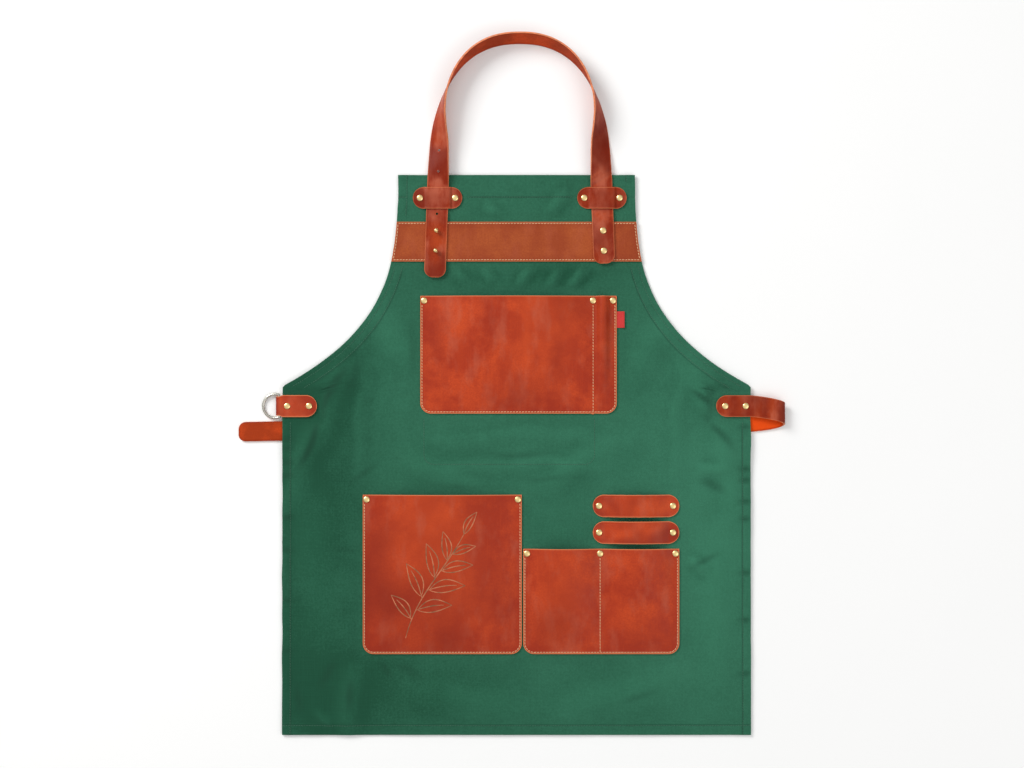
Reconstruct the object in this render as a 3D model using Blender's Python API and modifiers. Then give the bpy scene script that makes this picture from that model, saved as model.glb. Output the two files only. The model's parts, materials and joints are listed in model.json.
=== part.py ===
"""A gardening apron of cotton canvas with leather pockets, loops and straps.

The apron lies face up: +Z is up, out of its front, and +Y points to the neck. The
origin is on the surface it lies on, under the middle of the waist strap.
All sizes are in metres.
"""

import math

import bmesh
import bpy
from mathutils import Vector
from mathutils.geometry import interpolate_bezier

# Canvas body
SKIRT_WIDTH = 0.656
WAIST_WIDTH = 0.654
BIB_WIDTH = 0.331
BODY_LENGTH = 0.783
WAIST_LINE_DROP = 0.351  # bib's top edge down to the waist strap's line
ARMHOLE_START_DROP = 0.034  # bib's top edge down to the start of the armhole
ARMHOLE_END_DROP = 0.295  # bib's top edge down to the side corner
ARMHOLE_TOP_HANDLE = (0.033, 0.332)  # shares of the armhole's run and drop
ARMHOLE_SIDE_HANDLE = (0.951, 0.311)
CANVAS = 0.0010
HEM_FOLD = 0.0012  # the turned plies behind the canvas
SIDE_HEM = 0.012
BIB_HEM = 0.013
ARMHOLE_FACING = 0.018
BOTTOM_HEM = 0.014
TOP_HEM = 0.031
HEM_STEP = 0.002

# Leather thicknesses, and the small gap between touching pieces
POCKET_LEATHER = 0.0018
STRAP_LEATHER = 0.0024
TAB_LEATHER = 0.0020
GAP = 0.0003

# Rivets and studs
CAP_RADIUS = 0.0046
CAP_HEIGHT = 0.0017
BACK_CAP_RADIUS = 0.0040
SHANK_RADIUS = 0.0015
STUD_BALL_RADIUS = 0.0033
STUD_NECK_HEIGHT = 0.0016
HOLE_CLEARANCE = 0.0003
HOLE_REACH = 0.002  # a hole's cutter past both faces
CAP_MARGIN = 0.0006  # flat leather kept round a cap

# Chest band
BAND_DROP = 0.0655  # bib's top edge down to the band
BAND_HEIGHT = 0.0554

# Neck strap
STRAP_WIDTH = 0.030
NECK_STRAP_INSET = 0.0535  # bib's side to the strap's middle at the arch's foot
ARCH_CENTRE = 0.0045
ARCH_HEIGHT = 0.140
ARCH_BASE_RISE = 0.0497  # bib's top edge up to the foot of the arch
ARCH_SQUARENESS = 2.3
STRAP_SPLAY = 0.035
LEFT_TAIL = 0.0223  # tail left below the band
RIGHT_TAIL = 0.0030
TAIL_CORNER = 0.012
NECK_RIVET_DROP = 0.0125  # band's top edge down to the upper stud and rivet
NECK_RIVET_RISE = 0.0148  # band's bottom edge up to the lower stud and rivet
SPARE_HOLE_RADIUS = 0.0018
SPARE_HOLE_PITCH = 0.0294
SPARE_HOLE_START = 0.0236  # upper stud to the first spare hole
SPARE_HOLES = 4
# How the neck strap turns: rise is a share of the way from its keepers to its top, and
# lean is 0 where it lies flat, 90 where it stands on edge.
NECK_STRAP_TURN = [
    {"rise": 0.00, "lean": 0.0},
    {"rise": 0.08, "lean": 12.0},
    {"rise": 0.19, "lean": 24.0},
    {"rise": 0.26, "lean": 29.0},
    {"rise": 0.32, "lean": 36.0},
    {"rise": 0.42, "lean": 53.0},
    {"rise": 0.50, "lean": 66.0},
    {"rise": 0.62, "lean": 81.0},
    {"rise": 0.79, "lean": 94.0},
    {"rise": 1.00, "lean": 110.0},
]

# Keepers over the neck strap
KEEPER_WIDTH = 0.030
KEEPER_DROP = 0.0322  # bib's top edge down to the keepers' middle line
KEEPER_RIVET_INSET = 0.0098
KEEPER_RAMP = 0.0034
KEEPER_SLACK = 0.0010

# Pockets. An inset is from the pocket's edge to its rivets.
RIVET_INSET = 0.0052
RIVET_DROP = 0.0066
SEAM = 0.0075  # flat sewn strip along a pocket's bottom edge
POCKET_CORNER = 0.015
CHEST_POCKET_DROP = 0.169  # bib's top edge down to its mouth
CHEST_POCKET_WIDTH = 0.2744
CHEST_POCKET_HEIGHT = 0.1645
CHEST_POCKET_LEFT = -0.1344
PEN_SLOT_WIDTH = 0.0329
CHEST_BULGE = 0.0085
PEN_BULGE = 0.0075
LOWER_POCKETS_RISE = 0.1134  # hem up to the bottoms of both lower pockets
TALL_POCKET_LEFT = -0.2149
TALL_POCKET_WIDTH = 0.2222
TALL_POCKET_HEIGHT = 0.2226
TALL_BULGE = 0.0095
POCKET_SPACE = 0.0021
TWIN_POCKET_HEIGHT = 0.1470
TWIN_LEFT_WIDTH = 0.1075
TWIN_RIGHT_WIDTH = 0.1106
TWIN_BULGE = 0.0080

# Label sewn into the chest pocket's side seam
LABEL_DROP = 0.0217
LABEL_LENGTH = 0.0230
LABEL_REACH = 0.0106
LABEL_THICKNESS = 0.0012

# Tool loops above the twin pocket
LOOP_WIDTH = 0.0312
LOOP_LENGTH = 0.1208
LOOP_RIVET_INSET = 0.0087
LOOP_ARCH = 0.0080
LOOP_SPACE = 0.0060
LOOP_ABOVE_POCKET = 0.0072

# Waist strap, riveted at the right, looped under and laid across behind the body
WAIST_TAB_LINE = 0.028  # waist line up to the middle of the two side tabs
WAIST_TAB_LENGTH = 0.0481
WAIST_RIVET_INSET = 0.0124
WAIST_RIVET_PITCH = 0.0287
WAIST_LOOP_REACH = 0.0468
WAIST_LOOP_RISE = 0.0120
WAIST_STRAP_SLOPE = 0.0210
STRAP_END_REACH = 0.0622  # how far its free end shows past the left edge
STRAP_END_WIDTH = 0.0272
STRAP_END_CORNER = 0.010
# The loop from the body's edge in front, round its far end, and back to the edge
# behind: out is a share of its reach, up of its rise, and across of the way from the
# two tabs' line to the back strand's line.
WAIST_LOOP = [
    {"out": 0.33, "up": 0.60, "across": 0.08},
    {"out": 0.60, "up": 0.87, "across": 0.18},
    {"out": 0.80, "up": 1.00, "across": 0.28},
    {"out": 0.95, "up": 0.86, "across": 0.40},
    {"out": 1.00, "up": 0.55, "across": 0.50},
    {"out": 0.95, "up": 0.24, "across": 0.62},
    {"out": 0.78, "up": 0.05, "across": 0.76},
    {"out": 0.50, "up": 0.00, "across": 0.88},
]

# Ring and its tab at the left
RING_WIRE_RADIUS = 0.0020
RING_RADIUS = 0.0166
RING_BAR_OFFSET = 0.0058  # ring's centre to its straight bar
RING_CORNER = 0.0015
RING_OUT = 0.0050  # body's edge out to the bar
TAB_REACH = 0.0540  # bar in to the tab's round end
TAB_WIDTH = 0.0305
TAB_FOLD_INSET = 0.0023  # ring's bar end in to the fold's side
TAB_EASE = 0.0060  # bar in to where the tab's two layers lie flat
TAB_RIVET_INSET = 0.0117
TAB_RIVET_PITCH = 0.0306

# Where the canvas stands off the surface
RIDGE_MARGIN = 0.010
RIDGE_RAMP = 0.028
BIB_RAMP_END = 0.052  # bib's top edge down to where its lift is whole
SIDE_LIFT_IN = 0.085  # body's edge in to where the sides' lift is whole
SIDE_LIFT_FADE = 0.080
SIDE_LIFT_HALF_HEIGHT = 0.042
SIDE_LIFT_RAMP = 0.062
FLAT_MARGIN = 0.030  # canvas held flat this far round a leather piece
FLAT_FADE = 0.028
FOLD_LENGTH = 0.200
FOLD_WIDTH = 0.060
FOLD_HEIGHT = 0.0040
# Soft folds in the free canvas: across and along place a fold's middle as shares of
# half the skirt's width and of the skirt's drop below the waist line, turn is its
# direction from +Y in degrees, and the rest are shares of the three sizes above.
FOLDS = [
    {"across": -0.86, "along": -0.28, "turn": -16, "length": 0.80, "width": 0.9, "height": 0.7},
    {"across": 0.88, "along": -0.26, "turn": 14, "length": 0.80, "width": 0.9, "height": 0.7},
    {"across": -0.74, "along": -0.90, "turn": -4, "length": 0.55, "width": 0.9, "height": 0.9},
    {"across": -0.88, "along": -0.62, "turn": 9, "length": 0.95, "width": 1.0, "height": 0.7},
    {"across": 0.88, "along": -0.60, "turn": -10, "length": 1.05, "width": 1.0, "height": 0.8},
    {"across": -0.20, "along": -0.91, "turn": 80, "length": 0.95, "width": 0.8, "height": 0.5},
    {"across": 0.45, "along": -0.90, "turn": -74, "length": 1.00, "width": 0.9, "height": 0.7},
    {"across": 0.05, "along": -0.09, "turn": 88, "length": 1.30, "width": 0.6, "height": 0.4},
    {"across": -0.48, "along": 0.30, "turn": 28, "length": 0.45, "width": 0.7, "height": 0.5},
    {"across": 0.49, "along": 0.29, "turn": -30, "length": 0.45, "width": 0.7, "height": 0.5},
]

# Fineness of the faceted surfaces
BODY_ROW_PITCH = 0.030
BODY_COLUMNS = 22
STATION_PITCH = 0.014
LONG_PITCH = 0.060
SHORTEST_STEP = 0.0008
POCKET_COLUMN_PITCH = 0.015
ARCH_STEPS = 48
ROUND_STEPS = 10
RING_STEPS = 22

# Places that follow from the sizes
BIB_TOP = WAIST_LINE_DROP
HEM_LINE = BIB_TOP - BODY_LENGTH
SIDE_CORNER = BIB_TOP - ARMHOLE_END_DROP
EDGE = WAIST_WIDTH / 2
BACK_CAP = HEM_FOLD - GAP
CLOTH_TOP = HEM_FOLD + CANVAS
BAND_TOP = BIB_TOP - BAND_DROP
BAND_BOTTOM = BAND_TOP - BAND_HEIGHT
KEEPER_LINE = BIB_TOP - KEEPER_DROP
BIB_LIFT = BACK_CAP + GAP
RIDGE_LIFT = STRAP_LEATHER + GAP - HEM_FOLD
RIGHT_LIFT = STRAP_LEATHER + GAP
LEFT_LIFT = BACK_CAP + 2 * GAP + TAB_LEATHER
CHEST_POCKET_TOP = BIB_TOP - CHEST_POCKET_DROP
CHEST_POCKET_BOTTOM = CHEST_POCKET_TOP - CHEST_POCKET_HEIGHT
LOWER_POCKETS_BOTTOM = HEM_LINE + LOWER_POCKETS_RISE
TWIN_LEFT = TALL_POCKET_LEFT + TALL_POCKET_WIDTH + POCKET_SPACE
TWIN_RIGHT = TWIN_LEFT + TWIN_LEFT_WIDTH + TWIN_RIGHT_WIDTH
TWIN_TOP = LOWER_POCKETS_BOTTOM + TWIN_POCKET_HEIGHT
LOWER_LOOP_LINE = TWIN_TOP + LOOP_ABOVE_POCKET + LOOP_WIDTH / 2
UPPER_LOOP_LINE = LOWER_LOOP_LINE + LOOP_WIDTH + LOOP_SPACE
ARCH_HALF_WIDTH = BIB_WIDTH / 2 - NECK_STRAP_INSET
ARCH_FOOT = BIB_TOP + ARCH_BASE_RISE
KEEPER_BOTTOM = KEEPER_LINE - KEEPER_WIDTH / 2
KEEPER_TOP = KEEPER_LINE + KEEPER_WIDTH / 2
UPPER_STUD_LINE = BAND_TOP - NECK_RIVET_DROP
LOWER_STUD_LINE = BAND_BOTTOM + NECK_RIVET_RISE
RING_BAR_X = -EDGE - RING_OUT
RING_FOLD_RADIUS = RING_WIRE_RADIUS + GAP + TAB_LEATHER / 2
RING_BAR_Z = RING_FOLD_RADIUS + TAB_LEATHER / 2 + GAP / 2
RING_HALF_BAR = math.sqrt(RING_RADIUS**2 - RING_BAR_OFFSET**2)
WAIST_STRAP_TOP = CLOTH_TOP + RIGHT_LIFT + GAP + STRAP_LEATHER
TAB_END = RING_BAR_X + TAB_REACH
TAB_FRONT = CLOTH_TOP + LEFT_LIFT + GAP + TAB_LEATHER / 2
TAB_BACK = BACK_CAP + GAP + TAB_LEATHER / 2
# Leather that the canvas lies flat under, as (left, right, bottom, top)
LEATHER_PLATES = [
    (
        CHEST_POCKET_LEFT,
        CHEST_POCKET_LEFT + CHEST_POCKET_WIDTH + LABEL_REACH,
        CHEST_POCKET_BOTTOM,
        CHEST_POCKET_TOP,
    ),
    (TALL_POCKET_LEFT, TWIN_LEFT, LOWER_POCKETS_BOTTOM, LOWER_POCKETS_BOTTOM + TALL_POCKET_HEIGHT),
    (TWIN_LEFT, TWIN_RIGHT, LOWER_POCKETS_BOTTOM, UPPER_LOOP_LINE + LOOP_WIDTH / 2),
    (-EDGE, TAB_END, WAIST_TAB_LINE - TAB_WIDTH / 2, WAIST_TAB_LINE + TAB_WIDTH / 2),
    (EDGE - WAIST_TAB_LENGTH, EDGE, WAIST_TAB_LINE - STRAP_WIDTH / 2, WAIST_TAB_LINE + STRAP_WIDTH / 2),
    (-BIB_WIDTH / 2, BIB_WIDTH / 2, BAND_BOTTOM, BIB_TOP),
]

ARMHOLE = interpolate_bezier(
    Vector((BIB_WIDTH / 2, BIB_TOP - ARMHOLE_START_DROP)),
    Vector(
        (
            BIB_WIDTH / 2 + ARMHOLE_TOP_HANDLE[0] * (WAIST_WIDTH - BIB_WIDTH) / 2,
            BIB_TOP - ARMHOLE_START_DROP
            - ARMHOLE_TOP_HANDLE[1] * (ARMHOLE_END_DROP - ARMHOLE_START_DROP),
        )
    ),
    Vector(
        (
            EDGE - ARMHOLE_SIDE_HANDLE[0] * (WAIST_WIDTH - BIB_WIDTH) / 2,
            SIDE_CORNER
            + ARMHOLE_SIDE_HANDLE[1] * (ARMHOLE_END_DROP - ARMHOLE_START_DROP),
        )
    ),
    Vector((EDGE, SIDE_CORNER)),
    80,
)


def mix(a, b, share):
    """The value a share of the way from a to b."""
    return a + (b - a) * share


def clamp(value):
    """The value kept from 0 to 1."""
    return min(max(value, 0.0), 1.0)


def smooth(value):
    """A soft step from 0 to 1."""
    value = clamp(value)
    return value * value * (3 - 2 * value)


def look_up(table, key, column, at):
    """A column's value where the key column is at this value, straight between rows."""
    if at <= table[0][key]:
        return table[0][column]
    for low, high in zip(table, table[1:]):
        if at <= high[key]:
            return mix(low[column], high[column], (at - low[key]) / (high[key] - low[key]))
    return table[-1][column]


def half_width(y):
    """Half the body's width at this height."""
    if y <= SIDE_CORNER:
        return mix(SKIRT_WIDTH, WAIST_WIDTH, (y - HEM_LINE) / (SIDE_CORNER - HEM_LINE)) / 2
    for upper, lower in zip(ARMHOLE, ARMHOLE[1:]):
        if y >= upper.y:
            return upper.x
        if y >= lower.y:
            return mix(upper.x, lower.x, (upper.y - y) / (upper.y - lower.y))
    return EDGE


def hem_width(y):
    """How wide the turned edge is at this height, measured level."""
    if y <= SIDE_CORNER:
        return SIDE_HEM
    reach = 0.004
    slope = abs(half_width(y + reach) - half_width(y - reach)) / (2 * reach)
    facing = mix(ARMHOLE_FACING, BIB_HEM, smooth((y - BAND_BOTTOM) / (BAND_TOP - BAND_BOTTOM)))
    return facing * min(math.hypot(1, slope), 2.0)


def back_strand_line(x):
    """Middle of the waist strap where it crosses behind the body."""
    return WAIST_STRAP_SLOPE * x


def fold_height(x, y):
    """The soft folds' height at this place."""
    total = 0.0
    for fold in FOLDS:
        dx = x - fold["across"] * SKIRT_WIDTH / 2
        dy = y + fold["along"] * HEM_LINE
        turn = math.radians(fold["turn"])
        along = -dx * math.sin(turn) + dy * math.cos(turn)
        across = dx * math.cos(turn) + dy * math.sin(turn)
        reach = 1 - abs(2 * along / (fold["length"] * FOLD_LENGTH))
        spread = 1 - abs(2 * across / (fold["width"] * FOLD_WIDTH))
        total += FOLD_HEIGHT * fold["height"] * smooth(reach) * smooth(spread)
    return total


def leather_cover(x, y):
    """1 where leather holds the canvas flat, and 0 in the free canvas."""
    cover = 0.0
    for left, right, bottom, top in LEATHER_PLATES:
        away = max(left - x, x - right, bottom - y, y - top)
        cover = max(cover, 1 - smooth((away - FLAT_MARGIN) / FLAT_FADE))
    return cover


def side_lift(x, y):
    """Lift over the tabs' leather and rivets at the body's two sides."""
    lift = LEFT_LIFT if x < 0 else RIGHT_LIFT
    across = smooth((abs(x) - (EDGE - SIDE_LIFT_IN - SIDE_LIFT_FADE)) / SIDE_LIFT_FADE)
    away = abs(y - WAIST_TAB_LINE / 2) - SIDE_LIFT_HALF_HEIGHT
    return lift * across * (1 - smooth(away / SIDE_LIFT_RAMP))


def ridge_lift(x, y):
    """Lift over the waist strap: it eases off slowly under the chest pocket."""
    away = y - back_strand_line(x)
    if away > 0:
        foot = CHEST_POCKET_TOP - STRAP_WIDTH / 2
        return RIDGE_LIFT * (1 - clamp((away - STRAP_WIDTH / 2) / foot))
    past = -away - STRAP_WIDTH / 2 - RIDGE_MARGIN
    return RIDGE_LIFT * (1 - smooth(past / RIDGE_RAMP))


def bib_lift(y):
    """Lift of the bib's top over the rivets behind its hem."""
    return BIB_LIFT * clamp((y - BAND_BOTTOM) / (BIB_TOP - BIB_RAMP_END - BAND_BOTTOM))


def canvas_top(x, y):
    """Height of the canvas's front face."""
    lift = max(ridge_lift(x, y), side_lift(x, y), bib_lift(y))
    return CLOTH_TOP + lift + fold_height(x, y) * (1 - leather_cover(x, y))


def canvas_under(x, y):
    """Height that a back cap here seats at: the turned plies' face where it meets them."""
    clear = HEM_STEP + BACK_CAP_RADIUS
    inside = abs(x) < half_width(y) - hem_width(y) - clear
    inside = inside and HEM_LINE + BOTTOM_HEM + clear < y < BIB_TOP - TOP_HEM - clear
    return canvas_top(x, y) - CANVAS - (0.0 if inside else HEM_FOLD)


def spaced(breaks, pitch):
    """The breaks in order, with even values between them no further apart than pitch."""
    values = [breaks[0]]
    for low, high in zip(breaks, breaks[1:]):
        count = max(1, math.ceil((high - low) / pitch - 0.001))
        values += [mix(low, high, k / count) for k in range(1, count + 1)]
    return values


def material(name, colour, roughness, metallic=0.0):
    """A plain Principled material."""
    made = bpy.data.materials.new(name)
    made.use_nodes = True
    shader = made.node_tree.nodes["Principled BSDF"]
    shader.inputs["Base Color"].default_value = (*colour, 1.0)
    shader.inputs["Roughness"].default_value = roughness
    shader.inputs["Metallic"].default_value = metallic
    return made


def collection(name):
    """A new collection in the scene."""
    made = bpy.data.collections.new(name)
    bpy.context.scene.collection.children.link(made)
    return made


def mesh_object(name, mesh, home, finish=None):
    """An object of this mesh in its collection."""
    made = bpy.data.objects.new(name, mesh)
    home.objects.link(made)
    if finish:
        mesh.materials.append(finish)
    return made


def surface(name, rows, home, finish):
    """An open surface through rows of points, all rows with as many points."""
    shape = bmesh.new()
    grid = [[shape.verts.new(point) for point in row] for row in rows]
    for low, high in zip(grid, grid[1:]):
        for a, b, c, d in zip(low, low[1:], high[1:], high):
            shape.faces.new((a, b, c, d))
    mesh = bpy.data.meshes.new(name)
    shape.to_mesh(mesh)
    shape.free()
    made = mesh_object(name, mesh, home, finish)
    mesh.shade_smooth()
    mesh.set_sharp_from_angle(angle=math.radians(35))
    return made


def thicken(piece, thickness, offset):
    """Gives an open surface its wall: offset 1 grows it up, -1 down, 0 both ways."""
    wall = piece.modifiers.new("Wall", "SOLIDIFY")
    wall.thickness = thickness
    wall.offset = offset
    wall.use_even_offset = True
    return wall


def cut(piece, cutters):
    """Cuts every hole of a cutters' collection that crosses this piece."""
    holes = piece.modifiers.new("Holes", "BOOLEAN")
    holes.operation = "DIFFERENCE"
    holes.operand_type = "COLLECTION"
    holes.collection = cutters
    holes.solver = "EXACT"


def hole_cutter(name, x, y, radius, bottom, top, home):
    """An upright cylinder that cuts a hole."""
    shape = bmesh.new()
    bmesh.ops.create_cone(
        shape, cap_ends=True, segments=ROUND_STEPS, radius1=radius, radius2=radius, depth=top - bottom
    )
    mesh = bpy.data.meshes.new(name)
    shape.to_mesh(mesh)
    shape.free()
    cutter = mesh_object(name, mesh, home)
    cutter.location = (x, y, (bottom + top) / 2)
    cutter.hide_render = True
    cutter.display_type = "WIRE"


def turned(name, profile, x, y, home, finish):
    """A solid of revolution about an upright axis, from its profile top to bottom."""
    mesh = bpy.data.meshes.new(name)
    points = [(radius, 0.0, height) for radius, height in profile]
    mesh.from_pydata(points, [(k, k + 1) for k in range(len(points) - 1)], [])
    made = mesh_object(name, mesh, home, finish)
    made.location = (x, y, 0)
    screw = made.modifiers.new("Turn", "SCREW")
    screw.steps = screw.render_steps = ROUND_STEPS
    screw.use_merge_vertices = True
    screw.merge_threshold = 0.00005
    screw.use_smooth_shade = True
    return made


def end_half_width(half, corner, distance):
    """Half a strip's width this far from an end whose corners have this radius."""
    if distance >= corner:
        return half
    return half - corner + math.sqrt(corner**2 - (corner - distance) ** 2)


def end_distances(corner):
    """Distances from a rounded end where its outline needs a point."""
    return [corner * (1 - math.cos(math.radians(turn))) for turn in (18, 42, 66, 90)]


def lengths_along(points):
    """Distance from the first point to each point of a route."""
    total = [0.0]
    for a, b in zip(points, points[1:]):
        total.append(total[-1] + (b - a).length)
    return total


def point_at(points, lengths, distance):
    """Point and direction this far along a route."""
    for k in range(1, len(points)):
        if distance <= lengths[k] or k == len(points) - 1:
            span = lengths[k] - lengths[k - 1]
            share = (distance - lengths[k - 1]) / span
            return points[k - 1].lerp(points[k], share), (points[k] - points[k - 1]).normalized()


def stations(marks, total, start_corner, end_corner):
    """Distances for a strip's sections: at its marks, and closer at its rounded ends."""
    start = end_distances(start_corner)
    end = [total - distance for distance in reversed(end_distances(end_corner))]
    inner = [mark for mark in marks if start[-1] + SHORTEST_STEP < mark < end[0] - SHORTEST_STEP]
    return start + inner + end


def strip(name, sections, thickness, home, finish):
    """A leather strip through sections of (middle, side direction, half width)."""
    rows = [[middle - side * half, middle + side * half] for middle, side, half in sections]
    piece = surface(name, rows, home, finish)
    thicken(piece, thickness, 0)
    return piece


def canvas_body(home, finish, cutters):
    """The canvas: its edges are turned back, so it is thicker along them."""
    rows_at = spaced(
        [
            HEM_LINE,
            HEM_LINE + BOTTOM_HEM,
            HEM_LINE + BOTTOM_HEM + HEM_STEP,
            LOWER_POCKETS_BOTTOM,
            TWIN_TOP,
            -STRAP_WIDTH / 2 - RIDGE_MARGIN - RIDGE_RAMP,
            -STRAP_WIDTH / 2 - RIDGE_MARGIN - RIDGE_RAMP / 2,
            -STRAP_WIDTH / 2 - RIDGE_MARGIN,
            CHEST_POCKET_BOTTOM,
            SIDE_CORNER - 0.004,
            SIDE_CORNER,
            SIDE_CORNER + 0.012,
            SIDE_CORNER + 0.030,
            CHEST_POCKET_TOP,
            BAND_BOTTOM,
            BAND_TOP,
            BIB_TOP - BIB_RAMP_END,
            BIB_TOP - TOP_HEM - HEM_STEP,
            BIB_TOP - TOP_HEM,
            BIB_TOP,
        ],
        BODY_ROW_PITCH,
    )
    rows, plies = [], []
    for y in rows_at:
        edge = half_width(y)
        turned_in = edge - hem_width(y)
        inner = turned_in - HEM_STEP
        middle = [mix(-inner, inner, k / BODY_COLUMNS) for k in range(BODY_COLUMNS + 1)]
        row_hem = y < HEM_LINE + BOTTOM_HEM + HEM_STEP / 2 or y > BIB_TOP - TOP_HEM - HEM_STEP / 2
        xs = [-edge, -turned_in, *middle, turned_in, edge]
        rows.append([Vector((x, y, canvas_top(x, y))) for x in xs])
        plies += [row_hem or abs(x) > inner + HEM_STEP / 2 for x in xs]
    body = surface("canvas_body", rows, home, finish)
    hem = body.vertex_groups.new(name="hem")
    for index, doubled in enumerate(plies):
        hem.add([index], 1.0 if doubled else CANVAS / (CANVAS + HEM_FOLD), "REPLACE")
    wall = thicken(body, CANVAS + HEM_FOLD, -1)
    wall.vertex_group = hem.name
    cut(body, cutters)
    return body


def chest_band(home, finish, cutters):
    """The leather band across the bib, cut flush with the armholes."""
    rows = []
    for y in spaced([BAND_BOTTOM, BAND_TOP], BAND_HEIGHT / 2):
        edge = half_width(y)
        xs = [mix(-edge, edge, k / 4) for k in range(5)]
        rows.append([Vector((x, y, canvas_top(x, y) + GAP)) for x in xs])
    band = surface("chest_band", rows, home, finish)
    thicken(band, POCKET_LEATHER, 1)
    cut(band, cutters)


def pocket(name, left, bottom, height, parts, home, finish, cutters):
    """A leather pocket, sewn down at its sides, bottom and dividers, open at the top.

    parts are its compartments from left to right, as (width, bulge).
    """
    width = sum(part_width for part_width, _ in parts)
    outer_flat = RIVET_INSET + CAP_RADIUS + CAP_MARGIN
    inner_flat = CAP_RADIUS + CAP_MARGIN
    columns = [(0.0, 0.0)]
    start = 0.0
    for number, (part_width, bulge) in enumerate(parts):
        low = start + (outer_flat if number == 0 else inner_flat)
        start += part_width
        high = start - (outer_flat if number == len(parts) - 1 else inner_flat)
        steps = min(max(round(part_width / POCKET_COLUMN_PITCH), 5), 8)
        for k in range(steps + 1):
            columns.append((mix(low, high, k / steps), bulge * math.sin(math.pi * k / steps)))
    columns.append((width, 0.0))
    opened = [mix(bottom + SEAM, bottom + height, share) for share in (0.20, 0.45, 0.72, 1.0)]
    corner_rows = [bottom + distance for distance in end_distances(POCKET_CORNER)]
    rows = []
    for y in sorted([bottom, bottom + SEAM, *corner_rows, *opened]):
        inset = POCKET_CORNER - end_half_width(POCKET_CORNER, POCKET_CORNER, y - bottom)
        open_share = math.sin(math.pi / 2 * clamp((y - bottom - SEAM) / (height - SEAM)))
        row = []
        for across, rise in columns:
            x = mix(left + inset, left + width - inset, across / width)
            row.append(Vector((x, y, canvas_top(x, y) + GAP + rise * open_share)))
        rows.append(row)
    piece = surface(name, rows, home, finish)
    thicken(piece, POCKET_LEATHER, 1)
    cut(piece, cutters)


def seated_strip(name, centre, length, width, marks, rise, thickness, home, finish, cutters):
    """A strip along X with round ends, its underside raised by rise(distance in)."""
    corner = width / 2
    sections = []
    for distance in stations(marks, length, corner, corner):
        x = centre[0] - length / 2 + distance
        inward = min(distance, length - distance)
        z = canvas_top(x, centre[1]) + GAP + thickness / 2 + rise(inward)
        half = end_half_width(corner, corner, inward)
        sections.append((Vector((x, centre[1], z)), Vector((0, 1, 0)), half))
    piece = strip(name, sections, thickness, home, finish)
    cut(piece, cutters)


def keeper(name, strap_x, home, finish, cutters):
    """A leather keeper raised over the neck strap, and how far out its rivets are."""
    flat = max(KEEPER_RIVET_INSET + CAP_RADIUS + CAP_MARGIN, KEEPER_WIDTH / 2)
    length = STRAP_WIDTH + 2 * (flat + KEEPER_RAMP + KEEPER_SLACK)
    marks = [flat, flat + KEEPER_RAMP, length - flat - KEEPER_RAMP, length - flat]
    seated_strip(
        name, (strap_x, KEEPER_LINE), length, KEEPER_WIDTH, marks,
        lambda inward: (STRAP_LEATHER + GAP) * clamp((inward - flat) / KEEPER_RAMP),
        TAB_LEATHER, home, finish, cutters,
    )
    return length / 2 - KEEPER_RIVET_INSET


def tool_loop(name, centre, home, finish, cutters):
    """A leather loop riveted at both ends and arched up to take a tool's handle."""
    flat = max(LOOP_RIVET_INSET + CAP_RADIUS + CAP_MARGIN, LOOP_WIDTH / 2)
    span = LOOP_LENGTH - 2 * flat
    seated_strip(
        name, centre, LOOP_LENGTH, LOOP_WIDTH, spaced([flat, LOOP_LENGTH - flat], STATION_PITCH * 0.7),
        lambda inward: LOOP_ARCH * math.sin(math.pi * clamp((inward - flat) / span)),
        POCKET_LEATHER, home, finish, cutters,
    )


def leg_heights(tail):
    """Heights up one leg of the neck strap, from its tail to the arch's foot."""
    return spaced(
        [
            BAND_BOTTOM - tail,
            LOWER_STUD_LINE,
            BAND_TOP + GAP,
            KEEPER_BOTTOM,
            KEEPER_TOP,
            BIB_TOP + STRAP_LEATHER,
            ARCH_FOOT,
        ],
        STATION_PITCH,
    )


def neck_route():
    """The neck strap in plan: up the left leg, over the arch, down the right leg."""
    points = [Vector((neck_strap_x(-1, y), y, 0)) for y in leg_heights(LEFT_TAIL)]
    power = 2 / ARCH_SQUARENESS
    for k in range(1, ARCH_STEPS):
        turn = math.pi * k / ARCH_STEPS
        across = math.copysign(abs(math.cos(turn)) ** power, -math.cos(turn))
        x = ARCH_CENTRE + ARCH_HALF_WIDTH * across
        points.append(Vector((x, ARCH_FOOT + ARCH_HEIGHT * math.sin(turn) ** power, 0)))
    points += [Vector((neck_strap_x(1, y), y, 0)) for y in reversed(leg_heights(RIGHT_TAIL))]
    return points


def neck_strap_x(side, y):
    """Middle of the neck strap's leg at this height, side -1 left and 1 right."""
    return ARCH_CENTRE + side * (ARCH_HALF_WIDTH + STRAP_SPLAY * (ARCH_FOOT - y))


def neck_strap_rest(x, y):
    """Height of the neck strap's lower edge over what it lies on."""
    over_band = canvas_top(x, min(y, BAND_TOP)) + POCKET_LEATHER + 2 * GAP
    over_canvas = canvas_top(x, min(y, BIB_TOP)) + GAP
    past_band = BAND_TOP + GAP
    rest = mix(over_band, over_canvas, smooth((y - past_band) / (KEEPER_BOTTOM - past_band)))
    past_bib = BIB_TOP + STRAP_LEATHER
    return mix(rest, GAP / 2, smooth((y - past_bib) / (ARCH_FOOT - past_bib)))


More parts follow.
